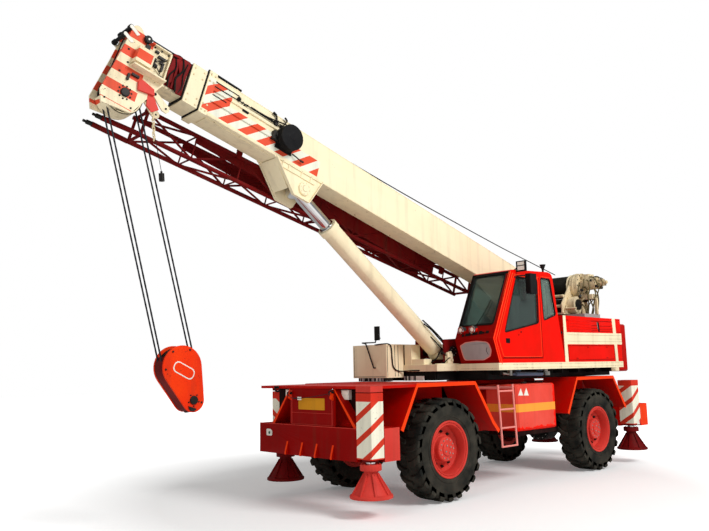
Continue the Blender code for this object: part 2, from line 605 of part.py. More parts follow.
def build_boom():
    bottom = BOOM_BOTTOM
    sections = (
        # name, half width, bottom, top, wall, rear end, front end
        ("boom_base", 0.200, bottom, bottom + 0.590, 0.022, -0.30, 7.62),
        ("boom_mid", 0.168, bottom + 0.034, bottom + 0.556, 0.020, 0.35, 7.86),
        ("boom_tip", 0.136, bottom + 0.066, bottom + 0.522, 0.020, 0.55, 8.40),
    )
    for name, half, low, high, wall, rear, front in sections:
        outer = block((rear, front), (-half, half), (low, high), boom_axis)
        bore = block((rear - 0.1, front + 0.1), (-half + wall, half - wall), (low + wall, high - wall), boom_axis)
        joined = []
        cut = [bore]
        if name == "boom_base":
            joined = base_section_forms(low, high)
            cut.append(drum(PIN_RADIUS + 0.002, (0, -0.5, 0), (0, 0.5, 0), 20, frame=boom_axis))
            cut.append(block((-0.31, 0.34), (-half + wall, half - wall), (low + wall, high - wall), boom_axis))
        if name == "boom_mid":
            joined = [block((7.64, 7.86), (-half - 0.028, half + 0.028), (low - 0.03, high + 0.03), boom_axis)]
            cut = [bore]
        if name == "boom_tip":
            joined = head_forms(half, low, high)
        node(name, "cream", outer, joined, cut)


def base_section_forms(low, high):
    eye_x, eye_z = LIFT_EYE_ON_BOOM
    forms = []
    bracket = [(5.40, low + 0.01), (6.30, low + 0.01), (5.86, eye_z - 0.17), (eye_x - 0.13, eye_z - 0.17)]
    for side in (1, -1):
        forms.append(plate("XZ", bracket, *side_span(side, (0.171, 0.199)), boom_axis))
        forms.append(drum(0.075, (eye_x, side * 0.128, eye_z), (eye_x, side * 0.21, eye_z), 16, frame=boom_axis))
    forms.append(block((7.50, 7.62), (-0.225, 0.225), (low - 0.025, high + 0.025), boom_axis))
    forms.append(drum(0.15, (0, -0.275, 0), (0, 0.275, 0), 24, frame=boom_axis))
    for z in (high - 0.20, high - 0.36):
        forms.append(block((6.35, 7.58), (0.19, 0.222), (z - 0.02, z + 0.02), boom_axis))
    for x in (7.12, 7.54):
        forms.append(block((x - 0.02, x + 0.02), (0.10, 0.14), (high - 0.01, high + 0.06), boom_axis))
    forms.append(drum(0.022, (7.08, 0.12, high + 0.06), (7.58, 0.12, high + 0.06), 8, frame=boom_axis))
    for x in (2.0, 6.6):
        forms.append(block((x - 0.05, x + 0.05), (-0.262, -0.19), (-0.12, 0.02), boom_axis))
    return forms


def head_forms(half, low, high):
    x, z = SHEAVE_ON_BOOM
    outline = [(8.15, low), (8.15, high), (8.50, high), (8.62, 0.31), (8.74, 0.31), (8.78, -0.04), (8.86, -0.62),
               (8.80, -0.77), (8.42, -0.72)]
    forms = [plate("XZ", outline, *side_span(side, (half - 0.001, half + 0.03)), boom_axis) for side in (1, -1)]
    forms.append(drum(0.04, (x, -half, z), (x, half, z), 16, frame=boom_axis))
    forms.append(block((8.64, 8.73), (-half, half), (0.0, 0.29), boom_axis))
    forms.append(drum(0.075, (8.66, -half - 0.001, 0.36), (8.66, half + 0.001, 0.36), 16, frame=boom_axis))
    for side in (1, -1):
        ear = [(8.50, 0.20), (8.58, 0.36), (8.66, 0.42), (8.72, 0.36), (8.70, 0.20)]
        forms.append(plate("XZ", ear, *side_span(side, (half - 0.004, half + 0.026)), boom_axis))
        forms.append(block((8.40, 8.62), side_span(side, (half + 0.01, half + 0.15)), (-0.10, 0.12), boom_axis))
    return forms


def build_sheaves():
    """Two grooved sheaves side by side, turned in one piece."""
    x, z = SHEAVE_ON_BOOM
    rim = HEAD_SHEAVE_RADIUS
    groove = rim - 0.03
    profile = [(0.041, -0.10)]
    for start in (-0.10, 0.015):
        profile += [(rim, start), (groove, start + 0.03), (groove, start + 0.05), (rim, start + 0.085)]
        if start < 0:
            profile += [(0.13, start + 0.085), (0.13, 0.015)]
    profile.append((0.041, 0.10))
    node("head_sheaves", "dark_steel", turned(profile, (x, 0, z), (0, 1, 0), 20, boom_axis), origin=(x, 0, z))


def build_hook():
    """The falls hang from the head sheaves' centre, and the block from the falls' lower end."""
    falls = []
    head = head_centre()
    down = Vector((-math.sin(FALL_LEAN), 0, -math.cos(FALL_LEAN)))
    across = Vector((math.cos(FALL_LEAN), 0, -math.sin(FALL_LEAN)))
    middle = head + down * FALL_LENGTH
    for sign in (1, -1):
        for y in (-0.035, 0.035):
            top = head + across * sign * (HEAD_SHEAVE_RADIUS + 0.012) + Vector((0, y, 0)) + down * 0.02
            foot = middle + across * sign * 0.20 + Vector((0, y, 0))
            falls.append(rod([top, foot], 0.010))
    tilt = BLOCK_LEAN
    low = middle + Vector((-math.sin(tilt), 0, -math.cos(tilt))) * 0.44
    outline = tangent_outline(middle, 0.27, low, 0.15, 10)
    cheek = plate("XZ", outline, -0.13, 0.13)
    node("hook_block", "hook_red", cheek, falls, origin=head)


def tangent_outline(top, top_radius, low, low_radius, steps):
    """The outline around two circles of unlike size, with straight flanks between them."""
    line = Vector((low.x - top.x, low.z - top.z))
    heading = math.atan2(line.y, line.x)
    spread = math.acos((top_radius - low_radius) / line.length)
    points = []
    for i in range(steps + 1):
        angle = heading + spread + (2 * math.pi - 2 * spread) * i / steps
        points.append((top.x + top_radius * math.cos(angle), top.z + top_radius * math.sin(angle)))
    for i in range(steps + 1):
        angle = heading - spread + 2 * spread * i / steps
        points.append((low.x + low_radius * math.cos(angle), low.z + low_radius * math.sin(angle)))
    return points


def head_centre():
    x, z = SHEAVE_ON_BOOM
    cos, sin = math.cos(BOOM_ELEVATION), math.sin(BOOM_ELEVATION)
    return BOOM_PIVOT + Vector((x * cos - z * sin, 0, x * sin + z * cos))


def build_jib():
    """A lattice of four chords that tapers to its two fork prongs, pinned along the boom's right side."""
    bays = 9
    rear, front = 1.15, 8.05
    chord = 0.032
    brace = 0.017

    def corner(i, upper, outer, past=0.0):
        x = rear + (front - rear) * i / bays + past
        drop = -0.35 - 0.34 * (x - rear) / (front - rear)
        return Vector((x, -0.30 - (0.36 if outer else 0.0), drop + (0.36 if upper else 0.0)))

    forms = [drum(chord, corner(0, upper, outer, -0.04), corner(bays, upper, outer, 0.04), 6, frame=boom_axis)
             for upper in (0, 1) for outer in (0, 1)]
    faces = (((0, 0), (0, 1)), ((0, 1), (1, 1)), ((1, 1), (1, 0)), ((1, 0), (0, 0)))
    for i in range(bays):
        for a, b in faces:
            start, end = (a, b) if i % 2 else (b, a)
            forms.append(drum(brace, corner(i, *start), corner(i + 1, *end), 4, frame=boom_axis))
    for i in (0, bays):
        for a, b in faces:
            forms.append(drum(brace + 0.006, corner(i, *a), corner(i, *b), 5, frame=boom_axis))
    for outer, y0, y1 in ((0, -0.304, -0.296), (1, -0.664, -0.656)):
        forms.append(plate("XZ", [(2.2, -0.42), (2.2, -0.06), (7.3, -0.28), (7.3, -0.40)], y0, y1, boom_axis))
    for x in (2.0, 6.6):
        forms.append(block((x - 0.04, x + 0.04), (-0.31, -0.2623), (-0.30, 0.0), boom_axis))
    for outer, y in ((0, -0.33), (1, -0.63)):
        forms.append(drum(chord + 0.004, corner(bays, 0, outer, 0.01), (8.66, y, -0.73), 6, frame=boom_axis))
    node("lattice_jib", "jib_red", forms[0], forms[1:])


def build_reel():
    profile = [(0.03, 0.0), (0.19, 0.0), (0.19, 0.02), (0.10, 0.02), (0.10, 0.12), (0.19, 0.12), (0.19, 0.14),
               (0.03, 0.14)]
    reel = turned(profile, (6.21, 0.24, 0.09), (0, 1, 0), 24, boom_axis)
    axle = drum(0.04, (6.21, 0.2 + GAP, 0.09), (6.21, 0.385, 0.09), 16, frame=boom_axis)
    node("hose_reel", "black_plastic", reel, [axle])


def build_lift_cylinder():
    """A two-stage cylinder: the barrel turns on its foot pin, the sleeve slides in it and the rod in the sleeve."""
    x, z = LIFT_EYE_ON_BOOM
    cos, sin = math.cos(BOOM_ELEVATION), math.sin(BOOM_ELEVATION)
    eye = BOOM_PIVOT + Vector((x * cos - z * sin, 0, x * sin + z * cos))
    along = (eye - LIFT_FOOT).normalized()

    def between(radius, start, end, segments=24):
        return drum(radius, LIFT_FOOT + along * start, LIFT_FOOT + along * end, segments)

    across = Vector((0, 0.11, 0))
    knuckle = drum(0.13, LIFT_FOOT - across, LIFT_FOOT + across, 24)
    pin_hole = drum(PIN_RADIUS + 0.002, LIFT_FOOT - 2 * across, LIFT_FOOT + 2 * across, 20)
    gland = between(0.162, 3.02, 3.12)
    node("lift_cylinder_barrel", "cream", between(0.15, 0.11, 3.10), [knuckle, gland],
         [pin_hole, between(0.13, 0.20, 3.3)], origin=LIFT_FOOT)
    node("lift_cylinder_sleeve", "chrome", between(0.125, 0.215, 3.14), [], [between(0.102, 0.15, 3.3)],
         origin=LIFT_FOOT)
    boss = drum(0.11, eye - across, eye + across, 24)
    hole = drum(0.045, eye - 2 * across, eye + 2 * across, 16)
    node("lift_cylinder_rod", "chrome", between(0.097, 0.84, (eye - LIFT_FOOT).length), [boss], [hole], origin=eye)


clear_scene()
parts = new_collection("mobile_crane")
cutters = new_collection("cutters")
materials = {name: make_material(name) for name in COLOURS}
axle_midpoint = make_empty("axle_midpoint", (AXLE_MIDPOINT_X, 0, 0))
boom_axis = make_empty("boom_axis", BOOM_PIVOT, axle_midpoint, BOOM_ELEVATION)

build_frame()
build_outrigger_housing("front", FRONT_TUBES_X, front_housing_forms())
build_outrigger_housing("rear", REAR_TUBES_X, rear_housing_forms())
build_outriggers("front", FRONT_TUBES_X)
build_outriggers("rear", REAR_TUBES_X)
build_decks()
build_tanks_and_ladder()
build_axles()
build_wheels()
build_slewing_ring()
build_turret()
build_winch()
build_hoods()
build_cab()
build_cab_inside()
build_boom()
build_sheaves()
build_hook()
build_jib()
build_reel()
build_lift_cylinder()
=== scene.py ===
import json
import math
import bmesh
import bpy
import numpy as np
from mathutils import Matrix, Vector

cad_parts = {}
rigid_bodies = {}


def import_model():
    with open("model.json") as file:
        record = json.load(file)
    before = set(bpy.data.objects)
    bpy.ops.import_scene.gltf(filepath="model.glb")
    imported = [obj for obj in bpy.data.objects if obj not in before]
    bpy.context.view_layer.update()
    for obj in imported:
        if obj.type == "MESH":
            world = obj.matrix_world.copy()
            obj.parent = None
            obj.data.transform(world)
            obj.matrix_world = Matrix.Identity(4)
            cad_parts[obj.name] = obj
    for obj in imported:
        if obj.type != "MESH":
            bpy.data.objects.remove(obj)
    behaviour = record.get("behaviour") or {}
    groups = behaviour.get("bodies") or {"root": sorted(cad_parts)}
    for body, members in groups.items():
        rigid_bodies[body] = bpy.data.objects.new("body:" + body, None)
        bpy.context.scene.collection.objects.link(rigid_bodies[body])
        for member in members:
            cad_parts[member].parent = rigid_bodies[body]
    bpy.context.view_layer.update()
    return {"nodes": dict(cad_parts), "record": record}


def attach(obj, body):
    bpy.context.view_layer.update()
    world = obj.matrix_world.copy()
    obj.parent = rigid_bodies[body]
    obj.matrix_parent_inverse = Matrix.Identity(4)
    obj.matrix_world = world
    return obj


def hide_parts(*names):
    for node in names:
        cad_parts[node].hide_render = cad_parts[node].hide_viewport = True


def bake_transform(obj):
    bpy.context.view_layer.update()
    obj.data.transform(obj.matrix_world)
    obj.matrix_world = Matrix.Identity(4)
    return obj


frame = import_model()
bodyOfNode = {node: body for body, names in frame["record"]["behaviour"]["bodies"].items()
              for node in names}

# Crane sizes, metres. Places are from the ground point midway between the axles, +X forward.
crane = {
    "midpointX": -1.454,        # that point in the frame's own coordinates
    "boomPivot": (-1.55, 0.0, 3.34),
    "boomElevation": math.radians(16.87),
    "wheelX": 2.15,
    "wheelY": 1.005,
    "wheelRadius": 0.745,
}


# Camera
camera = {
    "place": (10.517, 8.221, 1.923),
    "yaw": 0.7497, "pitch": 0.1437, "roll": -0.0202,
    "lens": 36.64,
}


def placeCamera():
    yaw, pitch, roll = camera["yaw"], camera["pitch"], camera["roll"]
    ahead = Vector((-math.sin(yaw) * math.cos(pitch), -math.cos(yaw) * math.cos(pitch),
                    math.sin(pitch)))
    level = ahead.cross(Vector((0, 0, 1))).normalized()
    upright = level.cross(ahead)
    right = math.cos(roll) * level + math.sin(roll) * upright
    up = math.cos(roll) * upright - math.sin(roll) * level
    view = bpy.data.objects.new("camera", bpy.data.cameras.new("camera"))
    bpy.context.scene.collection.objects.link(view)
    view.data.lens = camera["lens"]
    view.data.sensor_width = 36.0
    view.data.sensor_fit = "HORIZONTAL"
    view.data.clip_end = 200.0
    turn = Matrix((right, up, -ahead)).transposed().to_4x4()
    place = Vector(camera["place"]) + Vector((crane["midpointX"], 0, 0))
    view.matrix_world = Matrix.Translation(place) @ turn
    bpy.context.scene.camera = view


placeCamera()
print("camera placed")


# Shapes. Each gives (points, faces), and piece() joins any number of them into one mesh.
def grid(points, closeU=False, closeV=False):
    # faces of a net of points (rows, columns, 3), joined end to end where it closes
    rows, columns = points.shape[:2]
    u = np.arange(rows if closeU else rows - 1)
    v = np.arange(columns if closeV else columns - 1)
    i, j = (a.ravel() for a in np.meshgrid(u, v, indexing="ij"))
    iNext, jNext = (i + 1) % rows, (j + 1) % columns
    quads = np.stack((i * columns + j, iNext * columns + j, iNext * columns + jNext,
                      i * columns + jNext), 1)
    return points.reshape(-1, 3), quads.tolist()


def capped(points):
    # rings of points (rings, around, 3) with a flat face on the first and last ring
    rings, around = points.shape[:2]
    verts, faces = grid(points, closeV=True)
    last = (rings - 1) * around
    return verts, faces + [list(range(around - 1, -1, -1)), list(range(last, last + around))]


def smoothCurve(points, count):
    # Catmull-Rom: each span is the cubic whose end slopes are half the chord across its neighbours
    p = np.asarray(points, float)
    p = np.vstack((2 * p[0] - p[1], p, 2 * p[-1] - p[-2]))
    t = np.linspace(0, len(p) - 3 - 1e-9, count)
    k = t.astype(int)
    f = (t - k)[:, None]
    a, b, c, d = p[k], p[k + 1], p[k + 2], p[k + 3]
    return 0.5 * (2 * b + (c - a) * f + (2 * a - 5 * b + 4 * c - d) * f ** 2
                  + (3 * b - a - 3 * c + d) * f ** 3)


def squareTo(axis):
    # the axis at unit length, and two unit vectors square to it and to each other
    axis = np.asarray(axis, float) / np.linalg.norm(axis)
    side = np.cross(axis, np.eye(3)[int(np.argmin(np.abs(axis)))])
    side /= np.linalg.norm(side)
    return axis, side, np.cross(axis, side)


def carried(path, outline):
    # an outline (around, 2) carried along a path, square to it at every point
    path = np.asarray(path, float)
    along = np.gradient(path, axis=0)
    along /= np.linalg.norm(along, axis=1, keepdims=True)
    spread = np.abs(along).max(0)
    reference = np.eye(3)[int(np.argmin(spread))]
    side = np.cross(along, reference)
    side /= np.linalg.norm(side, axis=1, keepdims=True)
    rise = np.cross(side, along)
    outline = np.asarray(outline, float)
    rings = (path[:, None] + outline[None, :, :1] * side[:, None] + outline[None, :, 1:]
             * rise[:, None])
    return capped(rings)


def tube(path, radius, sides=10):
    # a circle carried along a path
    turn = np.linspace(0, 2 * np.pi, sides, endpoint=False)
    return carried(path, np.stack((np.cos(turn), np.sin(turn)), 1) * radius)


def hose(points, radius, sides=8, count=None):
    return tube(smoothCurve(points, count or 8 * len(points)), radius, sides)


def twisted(start, end, radius, pitch=0.16, strands=6):
    # laid rope: the radius swells by a tenth at each strand, and the strands turn along the run
    start, end = np.asarray(start, float), np.asarray(end, float)
    length = np.linalg.norm(end - start)
    steps = max(8, int(length / (pitch / 8)))
    s = np.linspace(0, 1, steps)[:, None]
    turn = np.linspace(0, 2 * np.pi, 12, endpoint=False)[None, :]
    lay = 2 * np.pi * s * length / pitch / strands
    swell = radius * (0.94 + 0.12 * np.abs(np.cos(strands * (turn + lay) / 2)))
    along = (end - start) / length
    side = np.cross(along, np.eye(3)[int(np.argmin(np.abs(along)))])
    side /= np.linalg.norm(side)
    rise = np.cross(side, along)
    rings = (start + s * (end - start))[:, None] + (swell * np.cos(turn))[..., None] * side \
        + (swell * np.sin(turn))[..., None] * rise
    return capped(rings)


def turned(profile, centre, axis=(0, 1, 0), steps=48, closed=True):
    # a closed profile of (radius, distance along the axis) spun about the axis through a centre
    profile = np.asarray(profile, float)
    axis, side, rise = squareTo(axis)
    turn = np.linspace(0, 2 * np.pi, steps, endpoint=False)[:, None]
    round_ = np.cos(turn)[..., None] * side + np.sin(turn)[..., None] * rise
    points = np.asarray(centre, float) + profile[None, :, :1] * round_ + profile[None, :, 1:] * axis
    return grid(points, closeU=True, closeV=closed)


def drum(start, end, radius, steps=24, radiusEnd=None):
    # a cylinder or cone between two points
    start, end = np.asarray(start, float), np.asarray(end, float)
    side, rise = squareTo(end - start)[1:]
    turn = np.linspace(0, 2 * np.pi, steps, endpoint=False)[:, None]
    round_ = np.cos(turn) * side - np.sin(turn) * rise
    far = radius if radiusEnd is None else radiusEnd
    return capped(np.stack((start + radius * round_, end + far * round_)))


def slab(outline, plane, low, high):
    # a flat outline in one plane, thick from low to high along the axis square to it
    outline = np.asarray(outline, float)
    axes = {"XZ": (0, 2, 1), "YZ": (1, 2, 0), "XY": (0, 1, 2)}[plane]
    rings = np.zeros((2, len(outline), 3))
    rings[:, :, axes[0]] = outline[:, 0]
    rings[:, :, axes[1]] = outline[:, 1]
    rings[0, :, axes[2]] = low
    rings[1, :, axes[2]] = high
    return capped(rings)


def brick(x, y, z):
    return slab([(x[0], y[0]), (x[1], y[0]), (x[1], y[1]), (x[0], y[1])], "XY", z[0], z[1])


def roundedOutline(width, height, radius, steps=5):
    # a rectangle with its four corners as quarter circles
    turn = np.linspace(0, np.pi / 2, steps)
    quarter = np.stack((np.cos(turn), np.sin(turn)), 1) * radius
    corners = ((1, 1, 0), (-1, 1, 1), (-1, -1, 2), (1, -1, 3))
    points = []
    for sx, sy, k in corners:
        c, s = round(math.cos(k * math.pi / 2)), round(math.sin(k * math.pi / 2))
        spun = quarter @ np.array([[c, s], [-s, c]])
        points.append(spun + (sx * (width / 2 - radius), sy * (height / 2 - radius)))
    return np.concatenate(points)


def bolts(places, axis, radius=0.012, height=0.010):
    # hexagon heads on a list of places, all facing the same way
    places = np.atleast_2d(np.asarray(places, float))
    axis, side, rise = squareTo(axis)
    turn = np.linspace(0, 2 * np.pi, 6, endpoint=False)[:, None]
    round_ = (np.cos(turn) * side + np.sin(turn) * rise) * radius
    ring = np.concatenate((round_ - axis * 0.004, round_ + axis * height * 0.8, round_ * 0.8 + axis
                           * height))
    verts = (places[:, None] + ring[None]).reshape(-1, 3)
    one = grid(np.zeros((3, 6, 3)), closeV=True)[1] + [[5, 4, 3, 2, 1, 0], list(range(12, 18))]
    faces = [[i + 18 * n for i in face] for n in range(len(places)) for face in one]
    return verts, faces


def ringOf(count, radius, centre, axis, start=0.0):
    # points spaced evenly round a circle square to the axis
    axis, side, rise = squareTo(axis)
    turn = (start + np.linspace(0, 2 * np.pi, count, endpoint=False))[:, None]
    return np.asarray(centre, float) + radius * (np.cos(turn) * side + np.sin(turn) * rise)


def moved(shape, by):
    return shape[0] + np.asarray(by, float), shape[1]


def boomSpace(points):
    # (along the boom, across, square above it) to the frame's coordinates
    c, s = math.cos(crane["boomElevation"]), math.sin(crane["boomElevation"])
    px, py, pz = crane["boomPivot"]
    x, y, z = points.T
    return np.stack((px + crane["midpointX"] + x * c - z * s, py + y, pz + x * s + z * c), 1)


def craneSpace(points):
    return points + (crane["midpointX"], 0, 0)


def piece(name, shapes, material, body, space=craneSpace, bevel=0.0, smooth=35, stands=()):
    # joins closed shapes into one object that rides on a body and may stand for solids
    verts, faces, start = [], [], 0
    for points, polygons in shapes:
        verts.append(points)
        faces += [[i + start for i in polygon] for polygon in polygons]
        start += len(points)
    mesh = bpy.data.meshes.new(name)
    mesh.from_pydata(space(np.concatenate(verts)).tolist(), [], faces)
    form = bmesh.new()
    form.from_mesh(mesh)
    bmesh.ops.recalc_face_normals(form, faces=form.faces)
    form.to_mesh(mesh)
    form.free()
    return finishPiece(name, mesh, material, body, bevel, smooth, stands)


def finishPiece(name, mesh, material, body, bevel, smooth, stands):
    mesh.shade_smooth()
    mesh.set_sharp_from_angle(angle=math.radians(smooth))
    mesh.materials.clear()
    mesh.materials.append(material)
    made = bpy.data.objects.new(name, mesh)
    bpy.context.scene.collection.objects.link(made)
    if bevel:
        soften = made.modifiers.new("softEdges", "BEVEL")
        soften.width = bevel
        soften.segments = 2
        soften.limit_method = "ANGLE"
        soften.angle_limit = math.radians(38)
        soften.harden_normals = True
    if body:
        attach(made, body)
    if stands:
        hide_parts(*stands)
    return made


def dress(node, material, bevel=0.006, smooth=35):
    # a solid's own faces, merged, with softened edges and a finish
    source = frame["nodes"][node]
    form = bmesh.new()
    form.from_mesh(source.data)
    bmesh.ops.transform(form, matrix=source.matrix_world, verts=form.verts)
    bmesh.ops.remove_doubles(form, verts=form.verts, dist=0.0001)
    bmesh.ops.dissolve_limit(form, angle_limit=math.radians(0.6), verts=form.verts,
                             edges=form.edges)
    mesh = bpy.data.meshes.new(node + "_skin")
    form.to_mesh(mesh)
    form.free()
    return finishPiece(node + "_skin", mesh, material, bodyOfNode[node], bevel, smooth, (node,))


# Materials
def linear(red, green, blue):
    # a screen colour of 0 to 255 as the linear colour that shows as it
    c = np.array((red, green, blue)) / 255
    return (*np.where(c <= 0.04045, c / 12.92, ((c + 0.055) / 1.055) ** 2.4), 1.0)


def newGroup(name, inputs, outputs):
    group = bpy.data.node_groups.new(name, "ShaderNodeTree")
    for label, value in inputs:
        socket = group.interface.new_socket(label, in_out="INPUT", socket_type="NodeSocketFloat")
        socket.default_value = value
    for label in outputs:
        group.interface.new_socket(label, in_out="OUTPUT", socket_type="NodeSocketFloat")
    return group, group.nodes.new("NodeGroupInput"), group.nodes.new("NodeGroupOutput")


def mathNode(tree, operation, a, b=None, c=None, clamp=False):
    node = tree.nodes.new("ShaderNodeMath")
    node.operation = operation
    node.use_clamp = clamp
    for socket, value in zip(node.inputs, (a, b, c)):
        if value is None:
            continue
        if isinstance(value, (int, float)):
            socket.default_value = value
        else:
            tree.links.new(value, socket)
    return node.outputs[0]


def noiseNode(tree, vector, scale, detail=3.0, rough=0.55):
    node = tree.nodes.new("ShaderNodeTexNoise")
    node.inputs["Detail"].default_value = detail
    node.inputs["Roughness"].default_value = rough
    tree.links.new(vector, node.inputs["Vector"])
    if isinstance(scale, (int, float)):
        node.inputs["Scale"].default_value = scale
    else:
        tree.links.new(scale, node.inputs["Scale"])
    return node.outputs["Fac"]


def spread(tree, value, low, high, outLow=0.0, outHigh=1.0):
    node = tree.nodes.new("ShaderNodeMapRange")
    node.inputs["From Min"].default_value = low
    node.inputs["From Max"].default_value = high
    node.inputs["To Min"].default_value = outLow
    node.inputs["To Max"].default_value = outHigh
    tree.links.new(value, node.inputs["Value"])
    return node.outputs["Result"]


def stretched(tree, vector, factors):
    node = tree.nodes.new("ShaderNodeVectorMath")
    node.operation = "MULTIPLY"
    node.inputs[1].default_value = factors
    tree.links.new(vector, node.inputs[0])
    return node.outputs["Vector"]


def buildWear():
    # fading in blotches, streaks that run down, chips in the paint and a fine orange-peel height
    group, given, put = newGroup("paintWear", (("Blotch Scale", 1.6), ("Chip Level", 0.70)),
                                 ("Blotch", "Streak", "Chip", "Height"))
    place = group.nodes.new("ShaderNodeTexCoord").outputs["Object"]
    blotch = spread(group, noiseNode(group, place, given.outputs["Blotch Scale"], 5), 0.32, 0.68)
    streak = noiseNode(group, stretched(group, place, (9, 9, 0.7)), 1.0, 4)
    streak = spread(group, streak, 0.50, 0.78)
    chip = noiseNode(group, place, 34.0, 5, 0.7)
    edge = noiseNode(group, place, 3.0, 2)
    chip = mathNode(group, "SUBTRACT", mathNode(group, "MULTIPLY_ADD", edge, 0.22, chip),
                    given.outputs["Chip Level"])
    chip = mathNode(group, "MULTIPLY", chip, 18.0, clamp=True)
    height = mathNode(group, "MULTIPLY_ADD", noiseNode(group, place, 140.0, 2), 0.3,
                      mathNode(group, "MULTIPLY", noiseNode(group, place, 11.0, 3), 0.7))
    for label, value in (("Blotch", blotch), ("Streak", streak), ("Chip", chip),
                         ("Height", height)):
        group.links.new(value, put.inputs[label])
    return group


def buildStripes():
    # slanted bands along X, leaning with Z: 1 on the painted band, 0 between
    group, given, put = newGroup("slantedStripes",
                                 (("X", 0), ("Z", 0), ("Period", 0.3), ("Lean", 1.0),
                                  ("Shift", 0.0), ("Share", 0.5)), ("Mask",))
    lean = mathNode(group, "MULTIPLY_ADD", given.outputs["Z"], given.outputs["Lean"],
                    given.outputs["X"])
    phase = mathNode(group, "DIVIDE", mathNode(group, "ADD", lean, given.outputs["Shift"]),
                     given.outputs["Period"])
    mask = mathNode(group, "LESS_THAN", mathNode(group, "FRACT", phase), given.outputs["Share"])
    group.links.new(mask, put.inputs["Mask"])
    return group


wearGroup = buildWear()
stripeGroup = buildStripes()


def mixColour(tree, factor, a, b):
    node = tree.nodes.new("ShaderNodeMix")
    node.data_type = "RGBA"
    sockets = [s for s in node.inputs if s.type == "RGBA"]
    for socket, value in zip(sockets, (a, b)):
        if isinstance(value, tuple):
            socket.default_value = value
        else:
            tree.links.new(value, socket)
    if isinstance(factor, (int, float)):
        node.inputs["Factor"].default_value = factor
    else:
        tree.links.new(factor, node.inputs["Factor"])
    return [s for s in node.outputs if s.type == "RGBA"][0]


surface = {"specular": 0.06}


def newMaterial(name, roughness, metallic=0.0, coat=0.0):
    material = bpy.data.materials.new(name)
    material.use_nodes = True
    shader = material.node_tree.nodes["Principled BSDF"]
    shader.inputs["Roughness"].default_value = roughness
    shader.inputs["Metallic"].default_value = metallic
    shader.inputs["Coat Weight"].default_value = coat
    shader.inputs["Specular IOR Level"].default_value = surface["specular"]
    return material, material.node_tree, shader


def useGroup(tree, group, **values):
    node = tree.nodes.new("ShaderNodeGroup")
    node.node_tree = group
    for label, value in values.items():
        socket = node.inputs[label.replace("_", " ")]
        if isinstance(value, (int, float)):
            socket.default_value = value
        else:
            tree.links.new(value, socket)
    return node.outputs


def addBump(tree, shader, height, strength, distance):
    bump = tree.nodes.new("ShaderNodeBump")
    bump.inputs["Strength"].default_value = strength
    bump.inputs["Distance"].default_value = distance
    tree.links.new(height, bump.inputs["Height"])
    tree.links.new(bump.outputs["Normal"], shader.inputs["Normal"])


def paint(name, colour, faded, under, roughness=0.38, dirt=0.35, chipLevel=0.70, pattern=None,
          coat=0.0):
    # enamel: faded in blotches, dirt in streaks, chips down to the under colour
    material, tree, shader = newMaterial(name, roughness, coat=coat)
    wear = useGroup(tree, wearGroup, Chip_Level=chipLevel)
    base = mixColour(tree, wear["Blotch"], linear(*colour), linear(*faded))
    if pattern:
        base = pattern(tree, base)
    grime = mathNode(tree, "MULTIPLY", wear["Streak"], dirt)
    base = mixColour(tree, grime, base, linear(70, 52, 38))
    base = mixColour(tree, wear["Chip"], base, linear(*under))
    tree.links.new(base, shader.inputs["Base Color"])
    rough = mathNode(tree, "MULTIPLY_ADD", wear["Blotch"], 0.16, roughness - 0.05)
    rough = mathNode(tree, "MULTIPLY_ADD", wear["Chip"], 0.25, rough)
    tree.links.new(rough, shader.inputs["Roughness"])
    addBump(tree, shader, wear["Height"], 0.12, 0.004)
    return material


def objectAxes(tree, location=(0, 0, 0), tilt=0.0):
    mapping = tree.nodes.new("ShaderNodeMapping")
    mapping.inputs["Location"].default_value = location
    mapping.inputs["Rotation"].default_value = (0, tilt, 0)
    tree.links.new(tree.nodes.new("ShaderNodeTexCoord").outputs["Object"], mapping.inputs["Vector"])
    axes = tree.nodes.new("ShaderNodeSeparateXYZ")
    tree.links.new(mapping.outputs["Vector"], axes.inputs[0])
    return axes.outputs


def between(tree, value, low, high):
    over = mathNode(tree, "GREATER_THAN", value, low)
    return mathNode(tree, "MULTIPLY", over, mathNode(tree, "LESS_THAN", value, high))


boomStripes = {"period": 0.326, "lean": 1.12, "shift": -0.125, "band": (-0.165, 0.083),
               "run": (5.52, 7.60), "upperRun": 7.20, "upperBand": (0.08, 0.31)}
stripeWhite = linear(232, 232, 214)
stripeRed = linear(226, 84, 56)


def boomAxes(tree):
    # the axes of boomSpace: along the boom, across it and square above it
    c, s = math.cos(crane["boomElevation"]), math.sin(crane["boomElevation"])
    px, _, pz = crane["boomPivot"]
    px += crane["midpointX"]
    return objectAxes(tree, (-(px * c + pz * s), 0, px * s - pz * c), crane["boomElevation"])


def boomPattern(tree, base):
    # red and white bands low on the base section's left side, and up to its top at the front
    axes = boomAxes(tree)
    x, y, z = axes["X"], axes["Y"], axes["Z"]
    bands = useGroup(tree, stripeGroup, X=x, Z=z, Period=boomStripes["period"],
                     Lean=boomStripes["lean"], Shift=boomStripes["shift"])["Mask"]
    low = mathNode(tree, "MULTIPLY", between(tree, z, *boomStripes["band"]),
                   between(tree, x, *boomStripes["run"]))
    high = mathNode(tree, "MULTIPLY", between(tree, z, *boomStripes["upperBand"]),
                    between(tree, x, boomStripes["upperRun"], boomStripes["run"][1]))
    where = mathNode(tree, "MAXIMUM", low, high)
    where = mathNode(tree, "MULTIPLY", where, mathNode(tree, "GREATER_THAN", y, 0.19))
    striped = mixColour(tree, bands, stripeWhite, stripeRed)
    return mixColour(tree, where, base, striped)


